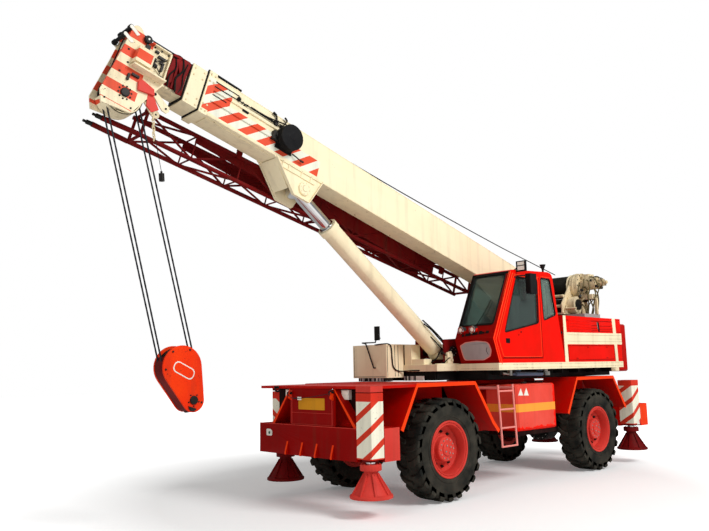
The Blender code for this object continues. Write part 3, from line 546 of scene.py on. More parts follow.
def jackPattern(tree, base):
    # slanted red and white bands on a jack's housing below its plain top
    axes = objectAxes(tree)
    x, y, z = axes["X"], axes["Y"], axes["Z"]
    run = mathNode(tree, "SUBTRACT", mathNode(tree, "ABSOLUTE", y), x)
    bands = useGroup(tree, stripeGroup, X=run, Z=z, Period=0.473, Lean=-1.515, Share=0.30,
                     Shift=0.077 + crane["midpointX"])["Mask"]
    where = mathNode(tree, "MULTIPLY", between(tree, z, 0.76, 1.50),
                     mathNode(tree, "GREATER_THAN", mathNode(tree, "ABSOLUTE", y), 0.965))
    return mixColour(tree, where, base,
                     mixColour(tree, bands, linear(240, 236, 214), linear(214, 58, 38)))


def nosePattern(tree, base):
    # level red and white bands down the plate at the boom's nose
    axes = boomAxes(tree)
    bands = useGroup(tree, stripeGroup, X=axes["Z"], Z=axes["Y"], Period=0.26, Lean=0.12,
                     Shift=0.02)["Mask"]
    where = mathNode(tree, "MULTIPLY", mathNode(tree, "GREATER_THAN", axes["X"], 8.42),
                     mathNode(tree, "GREATER_THAN", axes["Z"], -0.70))
    return mixColour(tree, mathNode(tree, "MULTIPLY", where, bands), base, stripeRed)


def tankPattern(tree, base):
    # one amber band along the tank's face, and a fresher red that creeps in from two of its edges
    axes = objectAxes(tree)
    x, z = axes["X"], axes["Z"]
    ragged = noiseNode(tree, tree.nodes.new("ShaderNodeTexCoord").outputs["Object"], 16.0, 4)
    rear = mathNode(tree, "SUBTRACT", -0.665 + crane["midpointX"], x)
    lower = mathNode(tree, "SUBTRACT", 0.935, z)
    edge = mathNode(tree, "MULTIPLY_ADD", ragged, 0.16, mathNode(tree, "MAXIMUM", rear, lower))
    fresh = mathNode(tree, "GREATER_THAN", edge, 0.085)
    base = mixColour(tree, fresh, base, linear(248, 22, 4))
    return mixColour(tree, between(tree, z, 1.18, 1.31), base, linear(250, 160, 60))


def metal(name, colour, roughness=0.4, metallic=0.7, oil=0.5):
    # bare or greasy steel: darker and glossier where oil lies
    material, tree, shader = newMaterial(name, roughness, metallic)
    wear = useGroup(tree, wearGroup, Blotch_Scale=5.0)
    dark = tuple(c * (1 - oil) for c in colour)
    base = mixColour(tree, wear["Blotch"], linear(*colour), linear(*dark))
    tree.links.new(base, shader.inputs["Base Color"])
    tree.links.new(mathNode(tree, "MULTIPLY_ADD", wear["Blotch"], -0.12, roughness + 0.06),
                   shader.inputs["Roughness"])
    addBump(tree, shader, wear["Height"], 0.2, 0.003)
    return material


def rubber(name, colour, dust=(96, 90, 78), roughness=0.82, amount=0.35):
    material, tree, shader = newMaterial(name, roughness)
    wear = useGroup(tree, wearGroup, Blotch_Scale=4.0)
    base = mixColour(tree, mathNode(tree, "MULTIPLY", wear["Blotch"], amount), linear(*colour),
                     linear(*dust))
    tree.links.new(base, shader.inputs["Base Color"])
    tree.links.new(mathNode(tree, "MULTIPLY_ADD", wear["Streak"], 0.12, roughness - 0.06),
                   shader.inputs["Roughness"])
    addBump(tree, shader, wear["Height"], 0.35, 0.003)
    return material


def glazing(name, tint, roughness=0.04):
    material, tree, shader = newMaterial(name, roughness)
    shader.inputs["Transmission Weight"].default_value = 0.82
    shader.inputs["Specular IOR Level"].default_value = 0.3
    shader.inputs["IOR"].default_value = 1.45
    wear = useGroup(tree, wearGroup, Blotch_Scale=2.5)
    tree.links.new(mixColour(tree, wear["Streak"], linear(*tint), linear(*(c * 0.8 for c in tint))),
                   shader.inputs["Base Color"])
    tree.links.new(mathNode(tree, "MULTIPLY_ADD", wear["Blotch"], 0.05, roughness),
                   shader.inputs["Roughness"])
    return material


def cloth(name, colour, darker):
    # woven seat cover: crossed threads in the height and the colour
    material, tree, shader = newMaterial(name, 0.9)
    shader.inputs["Sheen Weight"].default_value = 0.3
    axes = objectAxes(tree)
    warp = mathNode(tree, "SINE", mathNode(tree, "MULTIPLY", axes["Y"], 1600.0))
    weft = mathNode(tree, "SINE",
                    mathNode(tree, "MULTIPLY", mathNode(tree, "ADD", axes["X"], axes["Z"]), 1600.0))
    weave = spread(tree, mathNode(tree, "MULTIPLY", warp, weft), -1.0, 1.0)
    tree.links.new(mixColour(tree, weave, linear(*colour), linear(*darker)),
                   shader.inputs["Base Color"])
    addBump(tree, shader, weave, 0.3, 0.001)
    return material


cabRed = paint("cabRed", (240, 12, 0), (218, 16, 0), (120, 40, 25), 0.34, 0.06, 0.84)
carrierRed = paint("carrierRed", (196, 12, 2), (178, 10, 2), (96, 34, 24), 0.40, 0.30, 0.77)
# a darker red: painted shade on forward faces and on the right-hand skirt, and the real colour of
# the hood's seams
deepRed = paint("deepRed", (150, 2, 0), (134, 2, 0), (70, 24, 18), 0.42, 0.25, 0.78)
shadowRed = paint("shadowRed", (34, 8, 8), (24, 6, 6), (18, 10, 8), 0.6, 0.3, 0.78)
brightOrange = paint("brightOrange", (255, 92, 48), (250, 76, 34), (150, 60, 40), 0.34, 0.1, 0.85)
paleSalmon = paint("paleSalmon", (240, 150, 140), (226, 130, 120), (150, 70, 60), 0.42, 0.15, 0.82)
cabLining = paint("cabLining", (52, 62, 58), (44, 52, 50), (30, 34, 32), 0.6, 0.2, 0.85)
amberGrey = paint("amberGrey", (176, 160, 124), (160, 146, 112), (110, 96, 70), 0.5, 0.2, 0.8)
blueGrey = paint("blueGrey", (96, 112, 138), (84, 98, 120), (50, 56, 66), 0.45, 0.3, 0.78)
platePaint = paint("platePaint", (222, 150, 34), (206, 138, 30), (110, 70, 20), 0.45, 0.25, 0.78)
edgeOrange = paint("edgeOrange", (250, 66, 14), (240, 56, 14), (120, 40, 25), 0.36, 0.12, 0.82)
darkRed = paint("darkRed", (120, 16, 16), (92, 12, 14), (40, 16, 14), 0.5, 0.35, 0.76)
salmon = paint("salmon", (216, 70, 60), (200, 56, 48), (110, 50, 40), 0.42, 0.22, 0.77)
cream = paint("cream", (246, 232, 196), (238, 222, 184), (150, 120, 84), 0.40, 0.20, 0.79)
creamDirty = paint("creamDirty", (238, 222, 184), (206, 184, 142), (84, 70, 50), 0.5, 0.75, 0.70)
boomCream = paint("boomCream", (248, 234, 198), (242, 228, 190), (150, 120, 84), 0.38, 0.16, 0.81,
                  boomPattern)
headCream = paint("headCream", (246, 232, 196), (232, 214, 176), (110, 84, 60), 0.42, 0.35, 0.75,
                  nosePattern)
jackPaint = paint("jackPaint", (222, 60, 40), (206, 44, 30), (96, 40, 30), 0.42, 0.25, 0.76,
                  jackPattern)
tankPaint = paint("tankPaint", (232, 84, 70), (222, 66, 52), (120, 50, 40), 0.40, 0.16, 0.80,
                  tankPattern)
hookOrange = paint("hookOrange", (246, 66, 14), (228, 44, 10), (96, 36, 22), 0.42, 0.30, 0.74)
greyPanel = paint("greyPanel", (176, 170, 168), (160, 154, 152), (110, 100, 96), 0.5, 0.2, 0.8)
whitePaint = paint("whitePaint", (240, 238, 228), (226, 222, 210), (150, 140, 120), 0.45, 0.2, 0.8)
tyreRubber = rubber("tyreRubber", (26, 27, 25))
hoseRubber = rubber("hoseRubber", (18, 18, 19), amount=0.15, roughness=0.5)
blackPlastic = rubber("blackPlastic", (22, 22, 24), (60, 58, 54), 0.45, 0.2)
gasket = rubber("gasket", (14, 14, 15), (50, 48, 44), 0.55, 0.15)
darkSteel = metal("darkSteel", (58, 56, 54), 0.5, 0.6)
greaseSteel = metal("greaseSteel", (40, 36, 32), 0.35, 0.5)
ropeSteel = metal("ropeSteel", (52, 54, 58), 0.45, 0.7, 0.4)
brightSteel = metal("brightSteel", (196, 194, 188), 0.3, 0.9, 0.25)
plated = metal("plated", (226, 226, 226), 0.12, 1.0, 0.1)
pane = glazing("pane", (112, 132, 126))
palePane = glazing("palePane", (172, 196, 184))
lampLens = paint("lampLens", (250, 240, 226), (244, 228, 212), (200, 180, 160), 0.12, 0.1, 0.9,
                 coat=0.6)
redLens = paint("redLens", (190, 14, 10), (170, 12, 10), (120, 20, 16), 0.15, 0.1, 0.9, coat=0.6)
greenLens = paint("greenLens", (60, 110, 92), (50, 96, 80), (40, 60, 50), 0.15, 0.1, 0.9, coat=0.6)
blackRope = rubber("blackRope", (30, 29, 24), (58, 54, 44), 0.5, 0.3)
winchHose = rubber("winchHose", (72, 64, 42), (150, 138, 100), 0.5, 0.5)
seatCloth = cloth("seatCloth", (74, 78, 80), (44, 46, 48))
crumpled = rubber("crumpled", (132, 26, 26), (60, 14, 16), 0.6, 0.6)
print("materials made")


# Bodywork and structure: the solids themselves, with softened edges
# each node, its finish and the softening of its edges
skins = (("carrier_frame", carrierRed, 0.006), ("front_outrigger_housing", carrierRed, 0.004),
         ("rear_outrigger_housing", carrierRed, 0.004), ("front_deck", carrierRed, 0.003),
         ("rear_deck", carrierRed, 0.003), ("left_side_tank", tankPaint, 0.01),
         ("right_side_tank", tankPaint, 0.01), ("front_axle", darkSteel, 0.006),
         ("rear_axle", darkSteel, 0.006), ("slewing_ring", darkSteel, 0.004),
         ("turret_deck", cream, 0.004), ("counterweight", carrierRed, 0.012),
         ("left_boom_bracket", darkRed, 0.005), ("right_boom_bracket", darkRed, 0.005),
         ("boom_foot_pin", darkSteel, 0.003), ("lift_foot_pin", darkSteel, 0.003),
         ("winch_frame", creamDirty, 0.004), ("engine_hood", cabRed, 0.008),
         ("engine_block", darkSteel, 0.02), ("right_cabinet", cream, 0.006),
         ("cab_shell", cabRed, 0.006), ("cab_door", cabRed, 0.005),
         ("cab_console", blackPlastic, 0.01), ("windscreen", pane, 0.0), ("door_glass", pane, 0.0),
         ("boom_base", boomCream, 0.006), ("boom_mid", cream, 0.004),
         ("boom_tip", headCream, 0.004), ("hose_reel", blackPlastic, 0.004),
         ("lift_cylinder_barrel", cream, 0.004), ("lift_cylinder_sleeve", plated, 0.002),
         ("lift_cylinder_rod", plated, 0.003),)
for node, finish, softening in skins:
    dress(node, finish, softening)
for end in ("front", "rear"):
    for side in ("left", "right"):
        dress(side + "_" + end + "_outrigger_beam", jackPaint, 0.005)
        dress(side + "_" + end + "_knuckle", darkSteel, 0.005)
print("solids dressed")


# Wheels
wheel = {"lugs": 22, "lugHeight": 0.031, "tread": 0.714, "wheelNuts": 10}


def tyreProfile():
    # the carcass: bead, bulged side wall, shoulder and a slightly crowned tread
    half = [(0.4005, 0.150), (0.402, 0.172), (0.428, 0.198), (0.50, 0.211), (0.58, 0.2145),
            (0.645, 0.209), (0.685, 0.196), (0.706, 0.168), (0.713, 0.09), (0.714, 0.0)]
    outer = smoothCurve(half, 34)
    inner = outer[::-1][1:] * (1, -1)
    return np.vstack((outer, inner))


def lugBlocks(side):
    # a lug is a bent block: u runs from the middle to below the shoulder, and its heading swings
    u = np.linspace(0, 1, 7)[:, None]
    v = np.array([-1.0, -0.72, 0.72, 1.0])[None, :]
    across = 0.016 + 0.192 * np.minimum(u / 0.8, 1.0) + 0.0 * v
    drop = 0.072 * np.clip((u - 0.8) / 0.2, 0, 1) + 0.0 * v
    crown = 0.006 * (across / 0.2) ** 4
    width = (0.036 + 0.020 * u) * v
    heading = 0.16 * u - 0.05 * np.sin(3.2 * u)
    raised = np.where(np.abs(v) < 0.9, 1.0, 0.55)
    top = wheel["tread"] + wheel["lugHeight"] * raised - crown - drop
    foot = wheel["tread"] - 0.016 - crown - drop
    shapes = []
    for hand in (1, -1):
        for n in range(wheel["lugs"]):
            turn = 2 * np.pi * (n
                                + (0.25 if hand > 0
                                   else 0.75)) / wheel["lugs"] + side * heading + width / 0.73
            rings = np.stack([np.stack((r * np.cos(turn), hand * across + hand * 0.006 * (drop > 0),
                                        r * np.sin(turn)), 2) for r in (top, foot)])
            loop = np.concatenate((rings[0], rings[1][:, ::-1]), 1)
            shapes.append(capped(loop))
    return shapes


def rimShapes(side):
    # rim with lips and a lock ring, dished disc, hub drum with its cover
    rim = [(0.345, -0.188), (0.412, -0.188), (0.412, -0.176), (0.398, -0.170), (0.398, 0.170),
           (0.404, 0.184), (0.414, 0.188), (0.414, 0.202), (0.404, 0.206), (0.388, 0.198),
           (0.384, 0.182), (0.372, 0.178), (0.370, 0.190), (0.358, 0.192), (0.352, 0.176),
           (0.350, 0.10), (0.345, 0.06), (0.345, 0.0)]
    disc = [(0.16, 0.02), (0.20, -0.010), (0.28, -0.012), (0.347, 0.02), (0.347, 0.045),
            (0.325, 0.052), (0.28, 0.020), (0.235, 0.020), (0.215, 0.036), (0.16, 0.036)]
    hub = [(0.079, -0.02), (0.19, -0.02), (0.192, 0.030), (0.200, 0.034), (0.200, 0.052),
           (0.186, 0.058), (0.180, 0.130), (0.168, 0.142), (0.079, 0.146)]
    cover = [(0.0, 0.10), (0.10, 0.10), (0.10, 0.158), (0.088, 0.166), (0.0, 0.168)]
    axis = (0, side, 0)
    shapes = [turned(p, (0, 0, 0), axis, 64) for p in (rim, disc, hub)]
    shapes.append(turned(cover, (0, 0, 0), axis, 32, closed=False))
    return shapes


for end, sign in (("front", 1), ("rear", -1)):
    for sideName, side in (("left", 1), ("right", -1)):
        name = sideName + "_" + end
        hub = (sign * crane["wheelX"], side * crane["wheelY"], crane["wheelRadius"])
        axis = (0, side, 0)
        carcass = [turned(tyreProfile(), (0, 0, 0), axis, 96)] + lugBlocks(side)
        rings = [turned([(r, 0.206), (r + 0.006, 0.2165), (r + 0.016, 0.2165), (r + 0.022, 0.206)],
                        (0, 0, 0), axis, 96) for r in (0.462, 0.612)]
        piece(name + "_tyre_tread", [moved(s, hub) for s in carcass + rings], tyreRubber,
              name + "_wheel", smooth=40, stands=(name + "_tyre",))
        piece(name + "_rim_painted", [moved(s, hub) for s in rimShapes(side)], salmon,
              name + "_wheel", smooth=32, stands=(name + "_rim",))
        nuts = bolts(ringOf(wheel["wheelNuts"], 0.252, np.add(hub, (0, side * 0.020, 0)), axis),
                     axis, 0.021, 0.030)
        studs = bolts(ringOf(wheel["wheelNuts"], 0.252, np.add(hub, (0, side * 0.046, 0)), axis),
                      axis, 0.010, 0.022)
        small = bolts(ringOf(12, 0.142, np.add(hub, (0, side * 0.145, 0)), axis), axis, 0.010,
                      0.009)
        piece(name + "_wheel_nuts", [nuts, studs], darkSteel, name + "_wheel", smooth=25)
        plugs = bolts(ringOf(4, 0.060, np.add(hub, (0, side * 0.167, 0)), axis, 0.5), axis, 0.013,
                      0.012)
        piece(name + "_hub_bolts", [small, plugs], brightSteel, name + "_wheel", smooth=25)
        valve = tube([np.add(hub, (0.33, side * 0.06, 0.0)), np.add(hub, (0.335, side * 0.12, 0.0)),
                      np.add(hub, (0.33, side * 0.15, 0.0))], 0.006, 6)
        piece(name + "_valve", [valve], brightSteel, name + "_wheel")
print("wheels made")


# Boom sections: pads, painted shadow strips under the side rails, rods and the ropes that lie over
# them
boom = {"halfBase": 0.200, "halfMid": 0.168, "low": -0.213, "high": 0.377, "ropeRadius": 0.009,
        "overheadRope": [(-1.037, 0.10, 0.802), (-0.20, 0.09, 0.738), (0.893, 0.08, 0.652),
                         (2.406, 0.065, 0.566), (3.498, 0.05, 0.515), (5.0, 0.035, 0.470),
                         (6.5, 0.02, 0.452), (7.74, 0.01, 0.447), (8.66, 0.0, 0.444)],}


def framePoint(x, y, z, space=boomSpace):
    return tuple(float(v) for v in space(np.array([[x, y, z]]))[0])


shapes = []
for side in (1, -1):
    face = side * (boom["halfBase"] + 0.025)
    places = [(x, face, z) for x in (7.53, 7.59) for z in (-0.19, -0.10, 0.25, 0.35)]
    shapes.append(bolts(places, (0, side, 0), 0.014, 0.012))
    low = [(x, side * 0.14, boom["low"] - 0.0005) for x in np.arange(0.6, 7.4, 0.42)]
    shapes.append(bolts(low, (0, 0, -1), 0.011, 0.009))
piece("boom_base_bolts", shapes, creamDirty, "boom_base", boomSpace, smooth=25)

# the two thin black strips on the left side are painted shadow along the side rails; the rod, the
# round fitting, the block and the small caps are black fittings
shapes = [brick((7.10, 7.497), (0.2005, 0.2045), (0.298, 0.312)),
          brick((7.26, 7.497), (0.2005, 0.2045), (0.10, 0.114)),
          drum((7.06, 0.12, 0.437), (7.60, 0.12, 0.437), 0.026, 16),
          drum((7.098, 0.20, 0.259), (7.098, 0.222, 0.259), 0.030, 20),
          drum((7.098, 0.20, 0.259), (7.098, 0.232, 0.259), 0.012, 12),
          brick((6.90, 7.0), (0.195, 0.216), (0.13, 0.16))]
shapes += [drum((x, 0.2, z), (x, 0.226, z), 0.011, 10)
           for x, z in ((6.98, 0.235), (7.0, 0.21), (7.03, 0.24), (6.95, 0.24))]
piece("boom_base_slots", shapes, gasket, "boom_base", boomSpace)

shapes = [hose([(6.35, 0.226, 0.225), (6.9, 0.229, 0.226), (7.3, 0.229, 0.216), (7.5, 0.235, 0.21)],
               0.008), hose([(5.95, 0.215, 0.18), (6.2, 0.24, 0.26), (6.5, 0.232, 0.235),
                             (6.9, 0.23, 0.232)], 0.008)]
piece("boom_side_hoses", shapes, hoseRubber, "boom_base", boomSpace)

# seams: a thin weld bead along each lower edge, and the ribs behind the foot
shapes = [tube([(0.35, s * 0.199, boom["low"] + 0.012), (7.48, s * 0.199, boom["low"] + 0.012)],
               0.006, 8) for s in (1, -1)]
shapes += [tube([(0.35, s * 0.199, boom["high"] - 0.010), (7.48, s * 0.199, boom["high"] - 0.010)],
                0.006, 8) for s in (1, -1)]
shapes += [brick((x - 0.006, x + 0.006), (s * 0.200 - 0.004, s * 0.200 + 0.012), (-0.18, 0.34))
           for x in (0.20, 0.34) for s in (1, -1)]
piece("boom_base_welds", shapes, boomCream, "boom_base", boomSpace)

# lift bracket: flanges on its sloped edges, a doubler with pockets, and a sloped web in front
bracket = {"front": (6.30, -0.205), "rear": (5.40, -0.205), "apex": ((5.86, -0.62), (5.56, -0.62)),
           "thick": 0.013}


def edgeStrip(a, b, thick):
    # a bar laid along the line a-b in the boom's plane, centred on it
    a, b = np.array(a), np.array(b)
    along = (b - a) / np.linalg.norm(b - a)
    off = np.array((-along[1], along[0])) * thick / 2
    return [tuple(a + off), tuple(b + off), tuple(b - off), tuple(a - off)]


shapes = []
for side in (1, -1):
    span = sorted((side * 0.204, side * 0.236))
    for a, b in ((bracket["front"], bracket["apex"][0]), bracket["apex"],
                 (bracket["apex"][1], bracket["rear"])):
        shapes.append(slab(edgeStrip(a, b, bracket["thick"]), "XZ", *span))
    span = sorted((side * 0.195, side * 0.216))
    shapes.append(slab([(5.36, -0.212), (6.34, -0.212), (6.30, -0.232), (5.40, -0.232)], "XZ",
                       *span))
    for x in (5.62, 5.80, 6.04, 6.16):
        shapes.append(brick((x - 0.007, x + 0.007), span, (-0.31, -0.215)))
    shapes.append(slab([(5.52, -0.305), (6.20, -0.305), (6.18, -0.318), (5.54, -0.318)], "XZ",
                       *span))
    shapes.append(turned([(0.048, 0.19), (0.105, 0.19), (0.105, 0.224), (0.098, 0.230),
                          (0.048, 0.230)], (5.69, 0, -0.45), (0, side, 0), 40))
    shapes.append(bolts(ringOf(8, 0.080, (5.69, side * 0.229, -0.45), (0, side, 0)), (0, side, 0),
                        0.010, 0.009))
    shapes.append(drum((5.69, side * 0.215, -0.45), (5.69, side * 0.238, -0.45), 0.044, 24))
shapes.append(slab(edgeStrip((6.27, -0.225), (5.95, -0.555), 0.012), "XZ", -0.17, 0.17))
shapes.append(slab(edgeStrip((6.34, -0.219), (7.45, -0.219), 0.010), "XZ", -0.13, 0.13))
piece("lift_bracket_flanges", shapes, cream, "boom_base", boomSpace, bevel=0.003)

# hose reel: flanged drum with coiled hose, a fixed valve block and two levers
reel = {"place": (6.21, 0.24, 0.09)}


def coil(centre, radius, pitch, turns, thick, sides=8):
    # a helix about Y: each turn moves one pitch along the axis
    t = np.linspace(0, 2 * np.pi * turns, int(turns * 40))
    c = np.asarray(centre, float)
    path = np.stack((c[0] + radius * np.cos(t), c[1] + pitch * t / (2 * np.pi), c[2] + radius
                     * np.sin(t)), 1)
    return tube(path, thick, sides)


cx, cy, cz = reel["place"]
shapes = [turned([(0.03, a), (0.186, a), (0.19, a + 0.004), (0.19, a + 0.014), (0.186, a + 0.018),
                  (0.03, a + 0.018)], (cx, cy, cz), (0, 1, 0), 56) for a in (0.001, 0.121)]
shapes.append(turned([(0.03, 0.018), (0.10, 0.018), (0.10, 0.122), (0.03, 0.122)], (cx, cy, cz),
                     (0, 1, 0), 40))
for ring in (0.165, 0.135, 0.105, 0.075):
    shapes.append(turned([(ring, 0.136), (ring + 0.008, 0.136), (ring + 0.008, 0.1415),
                          (ring, 0.1415)], (cx, cy, cz), (0, 1, 0), 48))
shapes.append(turned([(0.0, 0.136), (0.05, 0.136), (0.05, 0.1425), (0.0, 0.1425)], (cx, cy, cz),
                     (0, 1, 0), 24, closed=False))
piece("hose_reel_drum", shapes, blackPlastic, "boom_base", boomSpace, bevel=0.0015,
      stands=("hose_reel",))
shapes = [coil((cx, cy + 0.026, cz), 0.178 - 0.024 * layer, 0.0165, 5.6, 0.0105)
          for layer in (0, 1, 2)]
shapes.append(hose([(6.21, 0.30, 0.27), (6.38, 0.27, 0.262), (6.62, 0.235, 0.24),
                    (6.9, 0.231, 0.236)], 0.0105))
piece("hose_reel_coil", shapes, hoseRubber, "boom_base", boomSpace)
shapes = [brick((6.36, 6.46), (0.2005, 0.262), (-0.02, 0.11)),
          drum((6.40, 0.262, 0.05), (6.40, 0.29, 0.05), 0.022, 14),
          brick((6.42, 6.47), (0.2005, 0.25), (0.20, 0.28)),
          drum((6.44, 0.225, 0.28), (6.47, 0.225, 0.35), 0.012, 10),
          drum((6.47, 0.225, 0.35), (6.53, 0.225, 0.37), 0.018, 10),
          drum((6.30, 0.225, 0.29), (6.28, 0.235, 0.36), 0.010, 10),
          drum((6.28, 0.235, 0.36), (6.33, 0.235, 0.39), 0.014, 10),
          hose([(6.05, 0.22, -0.06), (5.98, 0.25, -0.09), (5.88, 0.24, -0.10)], 0.010),
          drum((5.90, 0.24, -0.10), (5.84, 0.238, -0.095), 0.015, 10),
          brick((6.06, 6.36), (0.2005, 0.215), (-0.10, 0.26)),
          drum((6.21, 0.2005, 0.09), (6.21, 0.241, 0.09), 0.052, 24)]
piece("hose_reel_bracket", shapes, darkSteel, "boom_base", boomSpace, bevel=0.002)

# middle and tip sections: pads, dark bands at their mouths
shapes = [brick((7.862, 7.872), (-0.178, 0.178), (-0.19, 0.352)),
          brick((7.622, 7.634), (-0.208, 0.208), (-0.222, 0.384))]
piece("boom_mid_seals", shapes[:1], gasket, "boom_mid", boomSpace)
piece("boom_base_seal", shapes[1:], gasket, "boom_base", boomSpace)
shapes = []
for side in (1, -1):
    face = side * (boom["halfMid"] + 0.0285)
    shapes.append(bolts([(x, face, z) for x in (7.68, 7.82) for z in (-0.17, -0.08, 0.22, 0.32)],
                        (0, side, 0), 0.012, 0.010))
shapes.append(bolts([(x, y, 0.3735) for x in (7.68, 7.82) for y in (-0.15, -0.05, 0.05, 0.15)],
                    (0, 0, 1), 0.012, 0.010))
piece("boom_mid_bolts", shapes, creamDirty, "boom_mid", boomSpace, smooth=25)

shapes = [brick((7.90, 8.14), (0.1365, 0.150), (-0.12, 0.30)),
          brick((7.93, 7.99), (0.150, 0.172), (-0.14, 0.33)),
          brick((8.03, 8.06), (0.150, 0.178), (-0.13, 0.31))]
fold = [(7.88, 0.335), (7.90, 0.10), (7.89, -0.16), (7.97, -0.17), (8.05, -0.02), (8.00, 0.12),
        (8.06, 0.25), (8.00, 0.345)]
shapes.append(slab(fold, "XZ", 0.172, 0.188))
shapes.append(slab([(8.02, 0.33), (8.14, 0.27), (8.16, 0.05), (8.10, -0.10), (8.06, -0.04),
                    (8.08, 0.12), (8.04, 0.20)], "XZ", 0.160, 0.182))
shapes.append(slab([(7.87, 0.315), (8.16, 0.315), (8.13, 0.352), (7.90, 0.362)], "XZ", -0.10,
                   0.178))
piece("cable_guard", shapes, crumpled, "boom_tip", boomSpace, bevel=0.006)
shapes = [hose([(8.01, 0.186, 0.34), (7.97, 0.196, 0.18), (8.03, 0.196, 0.02), (7.99, 0.19, -0.15)],
               0.013), hose([(8.11, 0.18, 0.31), (8.07, 0.19, 0.16), (8.12, 0.19, 0.02),
                             (8.10, 0.17, -0.13)], 0.010),
          hose([(7.93, 0.19, 0.30), (7.95, 0.20, 0.12), (7.92, 0.195, -0.04), (7.95, 0.18, -0.16)],
               0.008), hose([(8.16, 0.12, 0.345), (8.05, 0.14, 0.375), (7.95, 0.12, 0.36),
                             (7.885, 0.10, 0.352)], 0.011)]
piece("cable_guard_hoses", shapes, hoseRubber, "boom_tip", boomSpace)
print("boom dressed")


# Boom head: side plates' fittings, rollers, rope anchor, sheave guard
head = {"sheave": (8.57, -0.51), "radius": 0.235, "plate": 0.166}
hx, hz = head["sheave"]
shapes = []
for side in (1, -1):
    y0 = side * head["plate"]
    out = (0, side, 0)
    shapes.append(bolts(ringOf(10, 0.085, (hx, y0, hz), out), out, 0.012, 0.011))
    shapes.append(turned([(0.0, 0.0), (0.058, 0.0), (0.058, 0.022), (0.050, 0.030), (0.0, 0.030)],
                         (hx, y0, hz), out, 28, closed=False))
    shapes.append(bolts([(8.20, y0, 0.27), (8.30, y0, 0.27), (8.40, y0, 0.27), (8.22, y0, -0.06),
                         (8.34, y0, -0.10), (8.70, y0, 0.05), (8.66, y0, -0.12), (8.72, y0, -0.28),
                         (8.44, y0, -0.66), (8.78, y0, -0.70)], out, 0.013, 0.012))
    for x, z, w, h in ((8.28, 0.17, 0.10, 0.035), (8.24, 0.06, 0.03, 0.12),
                       (8.33, 0.03, 0.05, 0.05), (8.22, -0.08, 0.09, 0.03),
                       (8.36, 0.22, 0.05, 0.03), (8.52, -0.24, 0.10, 0.03),
                       (8.60, -0.30, 0.03, 0.09), (8.49, 0.19, 0.06, 0.10)):
        shapes.append(brick((x - w / 2, x + w / 2), sorted((y0, side * (head["plate"] + 0.03))),
                            (z - h / 2, z + h / 2)))
    shapes.append(drum((8.27, y0, 0.11), (8.27, side * 0.20, 0.11), 0.022, 16))
    shapes.append(drum((8.36, y0, 0.10), (8.36, side * 0.21, 0.10), 0.016, 16))
    shapes.append(hose([(8.20, side * 0.17, 0.20), (8.26, side * 0.20, 0.13),
                        (8.34, side * 0.19, 0.09), (8.40, side * 0.18, -0.02)], 0.009))
    shapes.append(hose([(8.24, side * 0.18, -0.04), (8.30, side * 0.20, 0.0),
                        (8.38, side * 0.19, 0.06), (8.45, side * 0.17, 0.16)], 0.007))
piece("head_fittings", shapes, darkSteel, "boom_tip", boomSpace, bevel=0.002)

shapes = []
for side in (1, -1):
    shapes.append(slab([(8.17, -0.13), (8.62, -0.13), (8.62, -0.155), (8.17, -0.155)], "XZ",
                       *sorted((side * 0.166, side * 0.290))))
    shapes.append(slab([(8.17, 0.29), (8.19, 0.29), (8.19, -0.14), (8.17, -0.14)], "XZ",
                       *sorted((side * 0.166, side * 0.215))))
    shapes.append(slab([(8.19, 0.30), (8.46, 0.30), (8.46, 0.282), (8.19, 0.282)], "XZ",
                       *sorted((side * 0.166, side * 0.215))))
    arm = [(8.25, -0.29), (8.22, -0.33), (8.05, -0.46), (7.985, -0.465), (7.955, -0.425),
           (7.965, -0.375), (8.02, -0.345), (8.18, -0.27)]
    shapes.append(slab(arm, "XZ", *sorted((side * 0.120, side * 0.145))))
piece("head_frames", shapes, headCream, "boom_tip", boomSpace, bevel=0.004)
shapes = [drum((8.01, s * 0.119, -0.415), (8.01, s * 0.151, -0.415), 0.014, 14) for s in (1, -1)]
shapes += [drum((8.20, s * 0.119, -0.305), (8.20, s * 0.153, -0.305), 0.018, 14) for s in (1, -1)]
piece("head_arm_pins", shapes, gasket, "boom_tip", boomSpace)

redPlate = [(8.47, -0.29), (8.43, -0.245), (8.25, -0.285), (8.22, -0.36), (8.44, -0.40)]
shapes = [slab(redPlate, "XZ", 0.167, 0.205),
          slab([(8.30, -0.36), (8.23, -0.34), (8.10, -0.49), (8.18, -0.57), (8.27, -0.52)], "XZ",
               0.150, 0.172), slab(redPlate, "XZ", -0.205, -0.167)]
piece("head_red_brackets", shapes, salmon, "boom_tip", boomSpace, bevel=0.004)

shapes = []
guard = np.radians(np.linspace(150, 330, 40))
for inner, outer, low, high in ((0.238, 0.262, -0.130, -0.112), (0.238, 0.262, 0.112, 0.130),
                                (0.252, 0.262, -0.13, 0.13)):
    ring = np.concatenate((np.stack((hx + outer * np.cos(guard), hz + outer * np.sin(guard)), 1),
                           np.stack((hx + inner * np.cos(guard[::-1]),
                                     hz + inner * np.sin(guard[::-1])), 1)))
    shapes.append(slab(ring, "XZ", low, high))
piece("sheave_guard", shapes, headCream, "boom_tip", boomSpace)

shapes = []
for start in (-0.10, 0.015):
    profile = [(0.060, start + 0.02), (0.185, start + 0.028), (0.205, start + 0.004),
               (0.2345, start), (0.2345, start + 0.012), (0.206, start + 0.030),
               (0.206, start + 0.055), (0.2345, start + 0.073), (0.2345, start + 0.085),
               (0.205, start + 0.081), (0.185, start + 0.057), (0.060, start + 0.065)]
    shapes.append(turned(profile, (hx, 0, hz), (0, 1, 0), 64))
    for spoke in range(6):
        turn = math.pi * spoke / 3
        c, s = math.cos(turn), math.sin(turn)
        along, off = np.array((c, s)), np.array((-s, c)) * 0.012
        foot, tip = np.array((hx, hz)) + along * 0.06, np.array((hx, hz)) + along * 0.19
        shapes.append(slab([foot + off, tip + off, tip - off, foot - off], "XZ", start + 0.018,
                           start + 0.067))
shapes.append(turned([(0.042, -0.101), (0.068, -0.101), (0.068, 0.101), (0.042, 0.101)],
                     (hx, 0, hz), (0, 1, 0), 40))
